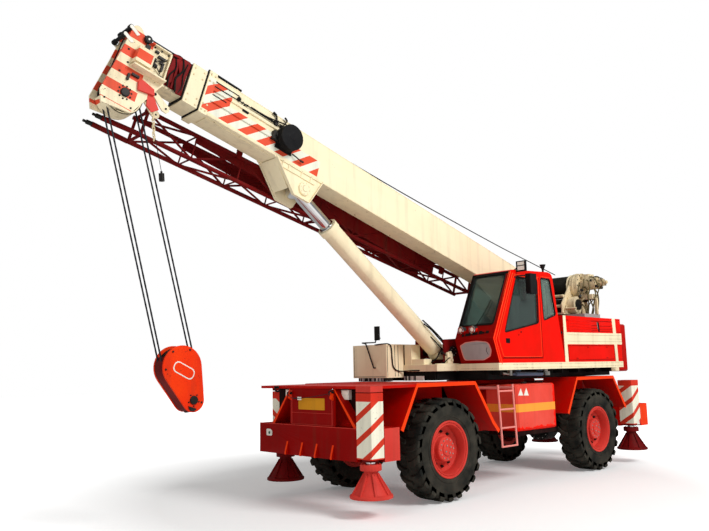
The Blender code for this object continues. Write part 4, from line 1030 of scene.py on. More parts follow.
piece("head_sheave_wheels", shapes, greaseSteel, "sheaves", boomSpace, smooth=30,
      stands=("head_sheaves",))

shapes, dark = [], []
for x, z, r in ((8.76, 0.35, 0.035), (8.80, 0.215, 0.035)):
    dark.append(turned([(0.012, -0.165), (r, -0.165), (r, -0.115), (r * 0.72, -0.10),
                        (r * 0.72, 0.10), (r, 0.115), (r, 0.165), (0.012, 0.165)], (x, 0, z),
                       (0, 1, 0), 28))
    shapes.append(turned([(0.0, 0.165), (r * 0.7, 0.165), (r * 0.7, 0.176), (0.0, 0.178)],
                         (x, 0, z), (0, 1, 0), 20, closed=False))
    arm = [(x - 0.10, z - 0.075), (x + 0.008, z - 0.02), (x + 0.014, z + 0.016),
           (x - 0.012, z + 0.02), (x - 0.13, z - 0.04)]
    shapes += [slab(arm, "XZ", *levels) for levels in ((0.166, 0.176), (-0.176, -0.166))]
dark.append(turned([(0.014, 0.168), (0.048, 0.168), (0.052, 0.176), (0.052, 0.206), (0.046, 0.214),
                    (0.014, 0.214)], (8.52, 0, 0.30), (0, 1, 0), 32))
dark.append(turned([(0.014, -0.214), (0.046, -0.214), (0.052, -0.206), (0.052, -0.176),
                    (0.048, -0.168), (0.014, -0.168)], (8.52, 0, 0.30), (0, 1, 0), 32))
shapes.append(drum((8.52, -0.222, 0.30), (8.52, 0.222, 0.30), 0.014, 16))
piece("nose_roller_plates", shapes, whitePaint, "boom_tip", boomSpace, bevel=0.002)
piece("nose_rollers", dark, blackPlastic, "boom_tip", boomSpace)

# rope anchor below the head: a chain of flat links, its cord, and the weight that the block lifts
shapes = []
top, foot = np.array((8.16, 0.125, -0.50)), np.array((8.02, 0.115, -0.86))
for i in range(9):
    a = top + (foot - top) * (i / 9)
    b = top + (foot - top) * ((i + 1.35) / 9)
    off = np.array((0.016, 0, 0.006)) if i % 2 else np.array((0.003, 0.016, 0))
    loop = np.array([a - off, a * 0.6 + b * 0.4 - off * 1.3, b - off, b + off, a * 0.4 + b * 0.6
                     + off * 1.3, a + off, a - off])
    shapes.append(tube(smoothCurve(loop, 26), 0.0052, 6))
piece("anchor_chain", shapes, creamDirty, "boom_tip", boomSpace)

weight = np.array((6.173, -0.05, 4.427))
anchor = np.array(framePoint(8.13, 0.112, -0.62)) - (crane["midpointX"], 0, 0)
shapes = [tube(np.linspace(anchor, weight + (0, 0, 0.05), 12), 0.0045, 6),
          drum(weight - (0.004, 0, 0.055), weight + (0.004, 0, 0.045), 0.036, 16),
          drum(weight + (0.004, 0, 0.045), weight + (0.005, 0, 0.075), 0.014, 10)]
piece("hoist_limit_weight", shapes, darkSteel, "sheaves")
print("boom head made")


# Hook block, its falls and their sheaves
hookBlock = {"lean": math.radians(21.0), "fallLean": math.radians(14.6), "fallLength": 3.45,
             "radius": 0.27, "lowRadius": 0.15, "gap": 0.44, "rope": 0.0105,
             "plaque": (0.31, 0.145), "plaqueTilt": math.radians(27)}
headPoint = np.array(framePoint(hx, 0, hz))
fl = hookBlock["fallLean"]
down = np.array((-math.sin(fl), 0, -math.cos(fl)))
across = np.array((math.cos(fl), 0, -math.sin(fl)))
blockMiddle = headPoint + down * hookBlock["fallLength"]
bl = hookBlock["lean"]
blockLow = blockMiddle + np.array((-math.sin(bl), 0, -math.cos(bl))) * hookBlock["gap"]


def asIs(points):
    return points


def twoCircles(top, topRadius, low, lowRadius, steps=22):
    # the outline round two unlike circles, with straight flanks between them
    line = np.array((low[0] - top[0], low[2] - top[2]))
    heading = math.atan2(line[1], line[0])
    spreadAngle = math.acos((topRadius - lowRadius) / np.linalg.norm(line))
    a = heading + spreadAngle + np.linspace(0, 2 * math.pi - 2 * spreadAngle, steps)
    b = heading - spreadAngle + np.linspace(0, 2 * spreadAngle, steps)
    return np.concatenate((np.stack((top[0] + topRadius * np.cos(a), top[2] + topRadius
                                     * np.sin(a)), 1),
                           np.stack((low[0] + lowRadius * np.cos(b), low[2] + lowRadius
                                     * np.sin(b)), 1)))


shapes = [slab(twoCircles(blockMiddle, hookBlock["radius"], blockLow, hookBlock["lowRadius"]), "XZ",
               *sorted((s * 0.098, s * 0.128))) for s in (1, -1)]
piece("hook_cheeks", shapes, hookOrange, "hook", asIs, bevel=0.006, stands=("hook_block",))
ring = twoCircles(blockMiddle, hookBlock["radius"] - 0.006, blockLow, hookBlock["lowRadius"]
                  - 0.006, 30)
inner = twoCircles(blockMiddle, hookBlock["radius"] - 0.03, blockLow, hookBlock["lowRadius"] - 0.03,
                   30)
count = len(ring)
net = np.zeros((4, count, 3))
for k, (line, y) in enumerate(((ring, -0.0979), (ring, 0.0979), (inner, 0.0979), (inner, -0.0979))):
    net[k, :, 0], net[k, :, 1], net[k, :, 2] = line[:, 0], y, line[:, 1]
openTop = [i for i in range(count) if ring[i, 1] > blockMiddle[2] + 0.15]
keep = [i for i in range(count) if i not in openTop]
start = next(i for i in keep if (i - 1) % count in openTop) if openTop else 0
order = [(start + i) % count for i in range(len(keep))]
shapes = [capped(net[:, order].transpose(1, 0, 2))]
piece("hook_block_band", shapes, darkRed, "hook", asIs)
shapes = []
for y in (-0.045, 0.045):
    shapes.append(turned([(0.05, y - 0.030), (0.225, y - 0.030), (0.238, y - 0.034),
                          (0.238, y - 0.024), (0.212, y - 0.008), (0.212, y + 0.008),
                          (0.238, y + 0.024), (0.238, y + 0.034), (0.225, y + 0.030),
                          (0.05, y + 0.030)], blockMiddle, (0, 1, 0), 56))
shapes.append(drum(blockMiddle - (0, 0.1, 0), blockMiddle + (0, 0.1, 0), 0.05, 24))
piece("hook_sheaves", shapes, greaseSteel, "hook", asIs, smooth=30)


def plaqueOutline(width, height, radius):
    # a rounded rectangle turned by the plaque's tilt, about a point below the block's middle
    shape = roundedOutline(width, height, radius)
    c, s = math.cos(hookBlock["plaqueTilt"]), math.sin(hookBlock["plaqueTilt"])
    turnedShape = shape @ np.array(((c, s), (-s, c)))
    centre = blockMiddle[[0, 2]] + (blockLow - blockMiddle)[[0, 2]] * 0.10
    return turnedShape + centre


width, height = hookBlock["plaque"]
for side, name in ((1, "near"), (-1, "far")):
    y = side * 0.128
    piece("hook_plaque_frame_" + name,
          [slab(plaqueOutline(width, height, 0.06), "XZ", *sorted((y, y + side * 0.005)))],
          whitePaint, "hook", asIs, bevel=0.002)
    piece("hook_plaque_field_" + name,
          [slab(plaqueOutline(width - 0.028, height - 0.028, 0.05), "XZ",
                *sorted((y, y + side * 0.0075)))], hookOrange, "hook", asIs, bevel=0.0015)
shapes = []
for side in (1, -1):
    out = (0, side, 0)
    edge = twoCircles(blockMiddle, hookBlock["radius"] - 0.035, blockLow, hookBlock["lowRadius"]
                      - 0.035, 8)
    shapes.append(bolts([(x, side * 0.128, z) for x, z in edge[[1, 3, 5, 9, 12, 14]]], out, 0.013,
                        0.013))
    shapes.append(turned([(0.0, 0.128), (0.055, 0.128), (0.055, 0.142), (0.048, 0.148),
                          (0.0, 0.148)], (blockLow[0], 0, blockLow[2]), out, 28, closed=False))
    shapes.append(bolts(ringOf(5, 0.075, (blockLow[0], side * 0.128, blockLow[2]), out), out, 0.010,
                        0.010))
    shapes.append(slab([(blockLow[0] - 0.02, blockLow[2] - 0.10),
                        (blockLow[0] + 0.08, blockLow[2] - 0.07),
                        (blockLow[0] + 0.05, blockLow[2] - 0.13),
                        (blockLow[0] - 0.01, blockLow[2] - 0.14)], "XZ",
                       *sorted((side * 0.127, side * 0.138))))
shapes.append(drum(blockLow - (0, 0.098, 0), blockLow + (0, 0.098, 0), 0.06, 20))
shapes.append(drum(blockLow + down * 0.02, blockLow + down * 0.14, 0.085, 20))
piece("hook_block_bolts", shapes, darkSteel, "hook", asIs, bevel=0.002)
shapes = []
for sign in (1, -1):
    for y in (-0.045, 0.045):
        upper = headPoint + across * sign * (head["radius"] - 0.022) + (0, y * 1.28,
                0) + down * 0.02
        lower = blockMiddle + across * sign * 0.222 + (0, y, 0)
        shapes.append(twisted(upper, lower, hookBlock["rope"], 0.12))
piece("hoist_falls", shapes, ropeSteel, "hook", asIs, smooth=60)
print("hook block made")


# Ropes over the boom: four lengths cut from one path, from the winch, over the foot, over the base
# and over the tip
path = smoothCurve(boom["overheadRope"], 140)
cuts = (-0.20, 1.0, 7.74)


def ropeLength(low, high):
    part = path[(path[:, 0] >= low - 1e-6) & (path[:, 0] <= high + 1e-6)]
    ends = [np.array([[x] + [np.interp(x, path[:, 0], path[:, k]) for k in (1, 2)]])
            for x in (low, high)]
    part = np.concatenate((ends[0], part, ends[1]))
    keepRow = np.concatenate(([True], np.diff(part[:, 0]) > 1e-4))
    return tube(part[keepRow], boom["ropeRadius"], 10)


made = piece("rope_from_winch", [ropeLength( path[0, 0], cuts[0])], ropeSteel, None, boomSpace,
             smooth=60)
framePoint(path[0, 0], 0.1, 0.8)
framePoint(cuts[0], 0.09, 0.74)
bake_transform(made)
made = piece("rope_over_foot", [ropeLength( cuts[0], cuts[1])], ropeSteel, None, boomSpace,
             smooth=60)
framePoint(cuts[0], 0.09, 0.74)
framePoint(cuts[1], 0.08, 0.65)
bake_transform(made)
made = piece("rope_over_base", [ropeLength( cuts[1], cuts[2])], ropeSteel, None, boomSpace,
             smooth=60)
framePoint(cuts[1], 0.08, 0.65)
framePoint(cuts[2], 0.01, 0.447)
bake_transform(made)
made = piece("rope_over_tip", [ropeLength( cuts[2], path[-1, 0])], ropeSteel, None, boomSpace,
             smooth=60)
framePoint(cuts[2], 0.01, 0.447)
framePoint(path[-1, 0], 0.0, 0.444)
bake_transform(made)
shapes = [tube(np.array([(8.66 + 0.084 * math.cos(t), 0.0, 0.36 + 0.084 * math.sin(t))
                         for t in np.radians(np.linspace(90, 0, 12))] + [(8.79, 0.0, -0.45)]),
               0.009, 10)]
piece("rope_over_nose", shapes, ropeSteel, "boom_tip", boomSpace, smooth=60)
print("ropes laid")


# Lattice jib on the boom's right side
jib = {"bays": 9, "rear": 1.15, "front": 8.05, "chord": 0.031, "brace": 0.016, "depth": 0.36}


def jibCorner(i, upper, outer, past=0.0):
    x = jib["rear"] + (jib["front"] - jib["rear"]) * i / jib["bays"] + past
    drop = -0.35 - 0.34 * (x - jib["rear"]) / (jib["front"] - jib["rear"])
    return np.array((x, -0.30 - (jib["depth"] if outer else 0.0),
                     drop + (jib["depth"] if upper else 0.0)))


shapes = [drum(jibCorner(0, u, o, -0.04), jibCorner(jib["bays"], u, o, 0.04), jib["chord"], 16)
          for u in (0, 1) for o in (0, 1)]
sides = (((0, 0), (0, 1)), ((0, 1), (1, 1)), ((1, 1), (1, 0)), ((1, 0), (0, 0)))
for i in range(jib["bays"]):
    for a, b in sides:
        start, end = (a, b) if i % 2 else (b, a)
        shapes.append(drum(jibCorner(i, *start), jibCorner(i + 1, *end), jib["brace"], 10))
        shapes.append(drum(jibCorner(i + 1, *a), jibCorner(i + 1, *b), 0.012, 8))
for i in (0, jib["bays"]):
    for a, b in sides:
        shapes.append(drum(jibCorner(i, *a), jibCorner(i, *b), 0.022, 12))
for y0, y1 in ((-0.304, -0.296), (-0.664, -0.656)):
    shapes.append(slab([(2.2, -0.42), (2.2, -0.06), (7.3, -0.28), (7.3, -0.40)], "XZ", y0, y1))
    shapes += [brick((x, x + 0.012), (y0 - 0.006, y1 + 0.006),
                     (-0.36 - 0.045 * (x - 2.2) / 5, -0.09 - 0.20 * (x - 2.2) / 5))
               for x in np.arange(2.7, 7.2, 0.75)]
for x in (2.0, 6.6):
    shapes.append(brick((x - 0.04, x + 0.04), (-0.31, -0.2623), (-0.30, 0.0)))
for outer, y in ((0, -0.33), (1, -0.63)):
    shapes.append(drum(jibCorner(jib["bays"], 0, outer, 0.01), (8.58, y, -0.722), 0.035, 16))
# the whole jib takes darkRed as painted shade, since the red jib lies in the boom's shadow
piece("jib_lattice", shapes, darkRed, "boom_base", boomSpace,
      stands=("lattice_jib",))
shapes = [drum((8.56, y, -0.720), (8.655, y, -0.728), 0.030, 16) for y in (-0.33, -0.63)]
shapes += [drum((8.655, y, -0.728), (8.70, y, -0.731), 0.018, 14) for y in (-0.33, -0.63)]
shapes += [drum((x, -0.2625, -0.15), (x, -0.345, -0.15), 0.028, 16) for x in (2.0, 6.6)]
shapes += [brick((x - 0.05, x + 0.05), (-0.50, -0.44),
                 (-0.02 - 0.05 * (x - 1), 0.03 - 0.05 * (x - 1))) for x in (3.2, 4.1)]
piece("jib_fittings", shapes, darkSteel, "boom_base", boomSpace, bevel=0.002)
print("jib made")


# Colours by place: faces of a dressed solid that pass a test take a second finish
def recolour(made, material, test):
    mesh = made.data
    count = len(mesh.polygons)
    middles, normals = np.empty(count * 3), np.empty(count * 3)
    slots = np.empty(count, dtype=np.int32)
    mesh.polygons.foreach_get("center", middles)
    mesh.polygons.foreach_get("normal", normals)
    mesh.polygons.foreach_get("material_index", slots)
    x, y, z = (middles.reshape(-1, 3) - (crane["midpointX"], 0, 0)).T
    chosen = test(x, y, z, normals.reshape(-1, 3))
    mesh.materials.append(material)
    mesh.polygons.foreach_set("material_index",
                              np.where(chosen, len(mesh.materials) - 1, slots).astype(np.int32))


def softened(outline, radius, steps=5):
    # each corner of an outline becomes the quadratic curve between two points a radius from it
    p = np.asarray(outline, float)
    before, after = np.roll(p, 1, 0) - p, np.roll(p, -1, 0) - p
    start = p + before / np.linalg.norm(before, axis=1, keepdims=True) * radius
    end = p + after / np.linalg.norm(after, axis=1, keepdims=True) * radius
    t = np.linspace(0, 1, steps)[None, :, None]
    return (start[:, None] * (1 - t) ** 2 + p[:, None] * 2 * t * (1 - t) + end[:, None]
            * t ** 2).reshape(-1, 2)


def looped(outline, plane, level, radius, sides=8):
    # a bead that runs round an outline in one plane
    ring = np.zeros((len(outline) + 2, 3))
    axes = {"XZ": (0, 2, 1), "YZ": (1, 2, 0)}[plane]
    closed = np.vstack((outline, outline[:2]))
    ring[:, axes[0]], ring[:, axes[1]], ring[:, axes[2]] = closed[:, 0], closed[:, 1], level
    return tube(ring, radius, sides)


def sloped(foot, top):
    # x stands out from a sloped face, y runs across the crane and z runs up the slope from its foot
    up = np.array((top[0] - foot[0], top[1] - foot[1]))
    up /= np.linalg.norm(up)

    def space(points):
        x, y, z = points.T
        return np.stack((crane["midpointX"] + foot[0] + up[0] * z + up[1] * x, y, foot[1] + up[1]
                         * z - up[0] * x), 1)
    return space


# Cab: colours of its fittings and lining, gaskets, panes, ridges, lamps, blank front panel
cab = {"middle": (0.0, 0.86, 2.8),
       "glassDoor": [(0.715, 2.48), (0.32, 3.42), (-0.30, 3.42), (-0.28, 2.66)],
       "quarter": [(-0.45, 2.71), (-0.41, 3.45), (-0.70, 3.45), (-0.835, 2.82)],
       "right": [(0.80, 2.60), (0.42, 3.40), (-0.62, 3.40), (-0.75, 2.70), (-0.75, 2.60)]}
skin = {made.name[:-5]: made for made in bpy.context.scene.objects if made.name.endswith("_skin")}


def facesMiddle(x, y, z, normals):
    toward = np.stack((cab["middle"][0] - x, cab["middle"][1] - y, cab["middle"][2] - z), 1)
    return (toward * normals).sum(1) > 0.02


recolour(skin["cab_shell"], cabLining, facesMiddle)
recolour(skin["cab_shell"], blackPlastic,
         lambda x, y, z, n: (z > 3.575) | (y > 1.2525) | ((x > 0.25) & (z > 3.54) & (y > 1.19)))
recolour(skin["cab_door"], cabLining, lambda x, y, z, n: (n[:, 1] < -0.9) & (y < 1.21))
recolour(skin["cab_door"], blackPlastic, lambda x, y, z, n: y > 1.2525)
recolour(skin["right_cabinet"], blackPlastic, lambda x, y, z, n: (z > 2.345) | (x > 1.8505))
for node in ("front_deck", "rear_deck"):
    recolour(skin[node], edgeOrange, lambda x, y, z, n: (np.abs(n[:, 1]) > 0.9)
             & (np.abs(y) > 1.245) & (x < 3.3))
# the upward faces at the deck's front end take salmon as a painted highlight
recolour(skin["front_deck"], salmon, lambda x, y, z, n: (n[:, 2] > 0.9) & (x > 2.8))
# the housing's forward faces take the darker red as painted shade
recolour(skin["front_outrigger_housing"], deepRed, lambda x, y, z, n: (n[:, 0] > 0.5) & (x > 3.5))
recolour(skin["front_outrigger_housing"], salmon, lambda x, y, z, n: np.abs(y) > 1.249)
recolour(skin["front_outrigger_housing"], edgeOrange,
         lambda x, y, z, n: ((n[:, 0] > 0.2) & (x > 3.79))
         | ((np.abs(y) > 0.49) & (z > 1.18) & (n[:, 0] > 0.9)) | ((x > 3.78) & (z > 1.45)))
recolour(skin["rear_outrigger_housing"], edgeOrange, lambda x, y, z, n: np.abs(y) > 1.249)
recolour(skin["engine_hood"], darkRed, lambda x, y, z, n: n[:, 0] < -0.9)
# the cab's forward faces below the roof take the darker red as painted shade
recolour(skin["cab_shell"], deepRed, lambda x, y, z, n: (n[:, 0] > 0.5) & (z < 3.48))

windscreenFace = sloped((0.96, 2.55), (0.484, 3.513))
y0, y1 = 0.473 + 0.07, 1.25 - 0.07
glassFrame = softened([(y0, 0.068), (y1, 0.068), (y1, 1.026), (y0, 1.026)], 0.05)
shapes = [looped(glassFrame, "YZ", 0.002, 0.013)]
shapes += [brick((0.001, 0.006), (y, y + 0.045 + 0.02 * (k % 2)),
                 (-0.135 + 0.006 * k, -0.095 + 0.005 * k + 0.012 * (k % 3)))
           for k, y in enumerate(np.arange(0.60, 1.10, 0.068))]
shapes += [brick((0.002, 0.012), (0.86, 1.16), (0.070, 0.085)),
           tube([(0.010, 0.84, 0.03), (0.014, 0.96, 0.30), (0.012, 1.02, 0.52)], 0.006, 6)]
shapes += [brick((0.0, 0.0025), (0.478, 0.546), (0.0, 1.066)),
           brick((0.0, 0.0025), (0.478, 1.236), (1.024, 1.072))]
piece("windscreen_gasket", shapes, gasket, "turret", windscreenFace)
shapes = [looped(softened(cab["glassDoor"], 0.05), "XZ", 1.2465, 0.011)]
shapes += [tube([(x, 1.2505, 2.07) for x in (-0.35, 0.2, 0.79)], 0.005, 6),
           tube([(-0.362, 1.2505, z) for z in (2.07, 2.7, 3.44)], 0.004, 6)]
shapes += [slab(softened([(0.585, 2.305), (0.695, 2.305), (0.695, 2.385), (0.585, 2.385)], 0.012,
                         3), "XZ", 1.248, 1.2522),
           drum((0.26, 1.24, 2.494), (0.26, 1.256, 2.494), 0.013, 12)]
shapes.append(drum((0.33, 1.24, 2.445), (0.33, 1.254, 2.445), 0.009, 10))
piece("door_gasket", shapes, gasket, bodyOfNode["cab_door"])
shapes = [looped(softened(cab["quarter"], 0.04), "XZ", 1.2465, 0.011),
          looped(softened(cab["right"], 0.04), "XZ", 0.477, 0.011)]


piece("side_gaskets", shapes, gasket, "turret")
shapes = [slab(softened(np.array(cab["quarter"]) * 0.999 + (0.0, 0.0025), 0.03), "XZ", 1.226,
               1.231), slab(softened(np.array(cab["right"]) * 0.999 + (0.0, 0.003), 0.03), "XZ",
                            0.492, 0.497)]
piece("side_panes", shapes, palePane, "turret")
rearFace = sloped((-0.94, 2.65), (-0.79, 3.505))
v = (0.215, 0.735)
shapes = [looped(softened([(0.575, v[0]), (1.148, v[0]), (1.148, v[1]), (0.575, v[1])], 0.04), "YZ",
                 0.002, 0.011)]
piece("rear_gasket", shapes, gasket, "turret", rearFace)
shapes = [slab(softened([(0.576, v[0] + 0.001), (1.147, v[0] + 0.001), (1.147, v[1] - 0.001),
                         (0.576, v[1] - 0.001)], 0.03), "YZ", 0.014, 0.019)]
piece("rear_pane", shapes, palePane, "turret", rearFace)

# the cream frame inside, seen through the door
shapes = []
frameOut = softened([(0.60, 2.80), (1.13, 2.80), (1.13, 3.42), (0.60, 3.42)], 0.05)
frameIn = softened([(0.66, 2.87), (1.07, 2.87), (1.07, 3.35), (0.66, 3.35)], 0.06)
net = np.zeros((4, len(frameOut), 3))
for k, (line, x) in enumerate(((frameOut, -0.735), (frameOut, -0.722), (frameIn, -0.722),
                               (frameIn, -0.735))):
    net[k, :, 0] = x - 0.16 * (3.2 - line[:, 1])
    net[k, :, 1:] = line
shapes.append(grid(net, closeU=True, closeV=True))
piece("rear_window_frame", shapes, cream, "turret", bevel=0.002)

# the ridges along the cab's edges take a lighter orange as painted highlights
ridge = [(0.484, 3.505), (1.035, 2.383), (0.895, 1.995)]
shapes = [tube([(x - back, 1.2475, z - 0.35 * back) for x, z in ridge], 0.0075, 8)
          for back in (0.012, 0.070)]
shapes += [tube([(x - 0.012, 1.235, z) for x, z in ((0.50, 3.50), (1.036, 2.40))], 0.006, 8)]
shapes += [tube([(-0.355, 1.2475, 3.458), (0.39, 1.2475, 3.458)], 0.006, 6),
           tube([(-0.43, 1.2475, 3.475), (-0.72, 1.2475, 3.475)], 0.005, 6)]
piece("cab_ridges", shapes, brightOrange, "turret")
# the door's ridge takes the same painted highlight
shapes = [looped(softened([(0.775, 2.085), (0.895, 2.385), (0.39, 3.435), (-0.335, 3.435),
                           (-0.335, 2.085)], 0.04), "XZ", 1.2495, 0.004, 6)]
piece("door_ridge", shapes, brightOrange, bodyOfNode["cab_door"])

lowerFace = sloped((0.90, 1.988), (1.043, 2.383))
panelEdge = [(0.545, 0.320), (0.676, 0.374), (0.917, 0.390), (1.10, 0.368), (1.149, 0.335),
             (1.165, 0.22), (1.115, 0.115), (0.967, 0.053), (0.57, 0.058), (0.55, 0.12)]
field = np.array(panelEdge) * 0.93 + np.mean(panelEdge, 0) * 0.07
piece("front_panel_edge", [slab(softened(panelEdge, 0.03), "YZ", -0.004, 0.005)], paleSalmon,
      "turret", lowerFace, bevel=0.002)
piece("front_panel_field", [slab(softened(field, 0.03), "YZ", 0.001, 0.0075)], greyPanel, "turret",
      lowerFace, bevel=0.0015)
shapes = [tube([(0.0085, 1.08, 0.15), (0.0085, 1.06, 0.21), (0.0085, 1.09, 0.27)], 0.004, 6)]
piece("front_panel_pull", shapes, gasket, "turret", lowerFace)

bezels, lenses = [], []
for y in (0.60, 0.84):
    bezels.append(turned([(0.049, 0.0), (0.062, 0.0), (0.062, 0.028), (0.055, 0.034),
                          (0.049, 0.030)], (1.018, y, 2.54), (1, 0, 0), 28))
    lenses.append(turned([(0.0, 0.0), (0.050, 0.0), (0.050, 0.022), (0.034, 0.032), (0.0, 0.037)],
                         (1.018, y, 2.54), (1, 0, 0), 28, closed=False))
piece("work_lamp_bezels", bezels, plated, "turret")
piece("work_lamp_lenses", lenses, lampLens, "turret")
# the roof mirrors' glass is flat white paint: a painted reflection of the bright surroundings
mirrorReflectionPanes = [brick((0.3195, 0.3210), (1.288, 1.422), (3.525, 3.592)),
               brick((0.3195, 0.3210), (1.288, 1.422), (3.608, 3.662))]
piece("roof_mirror_glass", mirrorReflectionPanes, whitePaint, "turret")
piece("door_mirror_glass", [brick((0.0185, 0.0205), (1.365, 1.44), (3.15, 3.45))], plated,
      bodyOfNode["cab_door"])
shapes = [brick((0.055, 0.075), (1.35, 1.4495), (3.135, 3.465)),
          brick((0.12, 0.128), (1.35, 1.4495), (3.14, 3.46)),
          brick((0.201, 0.2055), (1.365, 1.435), (3.16, 3.44))]
piece("door_mirror_ribs", shapes, gasket, bodyOfNode["cab_door"], bevel=0.002)
print("cab fitted")


# Driver's seat and controls
def pillow(x, y, z, swell):
    # a closed cushion from a cube's net, whose sides pull in at the corners
    form = bmesh.new()
    bmesh.ops.create_cube(form, size=2.0)
    bmesh.ops.subdivide_edges(form, edges=form.edges, cuts=9, use_grid_fill=True)
    p = np.array([v.co for v in form.verts])
    faces = [[v.index for v in face.verts] for face in form.faces]
    form.free()
    # reach = (|x|^6 + |y|^6 + |z|^4)^(-1/5) rounds the cube, and the swell crowns its broad faces
    reach = (np.abs(p[:, 0]) ** 6 + np.abs(p[:, 1]) ** 6 + np.abs(p[:, 2]) ** 4) ** (-1 / 5)
    p = p * reach[:, None]
    p[:, 2] += swell * np.sign(p[:, 2]) * (1 - p[:, 0] ** 2) * (1 - p[:, 1] ** 2)
    low, high = np.array((x[0], y[0], z[0])), np.array((x[1], y[1], z[1]))
    p = (p - p.min(0)) / (p.max(0) - p.min(0))
    return low + p * (high - low), faces


seat = {"cushion": ((-0.655, -0.105), (0.625, 1.095), (2.405, 2.54)), "fill": 0.75}
cushion = piece("seat_cushion", [pillow(*seat["cushion"], 0.5)], seatCloth, "turret", smooth=70,
                stands=("cab_seat",))
points, faces = pillow((-0.665, -0.545), (0.625, 1.095), (2.545, 3.115), 0.0)
points[:, 0] -= 0.075 * (points[:, 2] - 2.545) / 0.57 - 0.03
backrest = piece("seat_back", [(points, faces)], seatCloth, "turret", smooth=70)
shapes = [brick((-0.60, -0.17), (0.68, 1.04), (2.05, 2.36)),
          brick((-0.62, -0.15), (0.66, 1.06), (2.365, 2.40)),
          brick((-0.64, -0.12), (0.70, 1.02), (2.04, 2.06))]
piece("seat_base", shapes, blackPlastic, "turret", bevel=0.006)
tilt = np.array((-0.62, 0, 0.785))
wheelMiddle = np.array((0.42, 0.86, 2.70))
ringTurn = np.linspace(0, 2 * np.pi, 49)
sideways = np.cross(tilt, (0, 1, 0))
ringPath = wheelMiddle + 0.185 * (np.cos(ringTurn)[:, None] * np.array((0, 1, 0))
                                  + np.sin(ringTurn)[:, None] * sideways)
shapes = [tube(ringPath, 0.013, 8),
          drum(wheelMiddle - tilt * 0.03, wheelMiddle + tilt * 0.012, 0.045, 20)]
shapes += [tube([wheelMiddle, ringPath[k]], 0.008, 6) for k in (0, 16, 32)]
for x, y in ((0.50, 0.70), (0.50, 1.02), (-0.10, 1.12), (-0.18, 1.12), (-0.10, 0.62)):
    foot = 2.62 if x > 0 else 2.42
    shapes += [tube([(x, y, foot - 0.05), (x - 0.03, y, foot + 0.14)], 0.006, 6),
               drum((x - 0.03, y, foot + 0.13), (x - 0.037, y, foot + 0.17), 0.016, 12)]
shapes += [brick((-0.24, -0.04), (1.09, 1.15), (2.20, 2.43)),
           brick((-0.16, -0.04), (0.59, 0.64), (2.20, 2.43)),
           brick((0.47, 0.62), (0.74, 0.98), (2.60, 2.66))]
piece("cab_controls", shapes, blackPlastic, "turret", bevel=0.002)
print("seat and controls made")


# Engine housing: cream uprights and band, seams, latch, grille behind
hood = {"side": 1.24, "thick": 0.006}
upright = [(-1.0805, 2.8225), (-1.165, 2.8225), (-1.190, 1.990), (-1.0805, 1.990)]
second = [(-2.861, 2.8225), (-2.985, 2.8225), (-3.022, 1.990), (-2.925, 1.990)]
band = [(-1.155, 2.52), (-3.203, 2.535), (-3.203, 2.318), (-1.170, 2.304)]
a, b = hood["side"] - 0.002, hood["side"] + hood["thick"]
shapes = [slab(upright, "XZ", a, b), slab(second, "XZ", a, b + 0.0006),
          slab(band, "XZ", a, b - 0.0006), brick((-3.209, -3.201), (0.405, b), (2.318, 2.535))]
piece("hood_cream_bands", shapes, cream, "turret", bevel=0.002)
shapes = [looped(softened([(-1.215, 2.020), (-2.905, 2.032), (-2.895, 2.292), (-1.202, 2.280)],
                          0.02, 3), "XZ", a + 0.003, 0.006, 6),
          tube([(-1.17, a + 0.004, 2.741), (-2.86, a + 0.004, 2.757)], 0.006, 6)]
shapes += [tube([(x0, a + 0.003, z), (x1, a + 0.003, z + 0.012)], 0.0045, 6)
           for z in (2.659, 2.603, 2.562) for x0, x1 in ((-2.07, -2.27), (-2.38, -2.86))]
shapes += [tube([(-3.04, a + 0.002, z), (-3.19, a + 0.002, z)], 0.004, 6)
           for z in (2.03, 2.30, 2.56, 2.80)]
piece("hood_seams", shapes, deepRed, "turret")
shapes = [tube([(x0, b + 0.0005, z), (x1, b + 0.0005, z2)], 0.0022, 6)
          for x0, x1, z, z2 in ((-1.2, -3.2, 2.475, 2.490), (-2.70, -3.2, 2.42, 2.424),
                                (-1.2, -3.2, 2.36, 2.374))]
piece("hood_band_lines", shapes, amberGrey, "turret")
shapes = [slab(softened([(-2.30, 2.74), (-2.335, 2.735), (-2.365, 2.60), (-2.36, 2.548),
                         (-2.325, 2.55), (-2.29, 2.66)], 0.01, 3), "XZ", 1.238, 1.2495),
          drum((-1.005, 1.2, 2.508), (-1.005, 1.247, 2.508), 0.028, 16),
          brick((-1.03, -0.985), (1.20, 1.235), (2.49, 2.525))]
piece("hood_latch", shapes, gasket, "turret", bevel=0.002)
shapes = [tube([(-2.275, 1.2475, 2.73), (-2.285, 1.2475, 2.66), (-2.30, 1.2475, 2.60)], 0.006, 6)]
piece("hood_latch_edge", shapes, brightSteel, "turret")
shapes = [brick((-3.2115, -3.2025), (0.50, 1.15), (z, z + 0.022))
          for z in np.arange(2.56, 2.79, 0.042)]
shapes += [brick((-3.2115, -3.2025), (0.50, 1.15), (z, z + 0.022))
           for z in np.arange(2.05, 2.28, 0.042)]
shapes += [brick((x, x + 0.9), (y, y + 0.012), (2.8225, 2.8275)) for x in (-3.05, -2.05)
           for y in np.arange(0.5, 1.15, 0.05)]
piece("hood_grilles", shapes, gasket, "turret")
shapes = [brick((x - 0.03, x + 0.03), (1.236, 1.2465), (z - 0.012, z + 0.012))
          for x, z in ((-1.9, 2.255), (-2.6, 2.262), (-1.5, 2.05), (-2.6, 2.06))]
piece("hood_catches", shapes, carrierRed, "turret", bevel=0.003)
print("engine housing trimmed")


# Winches: rope wound on two drums, flanges, gearbox bolts, hoses on the motor side
winch = {"high": (-3.00, 0.0, 3.54), "low": (-2.72, 0.0, 3.14), "rope": 0.0095,
         "half": 0.350, "turns": 36}


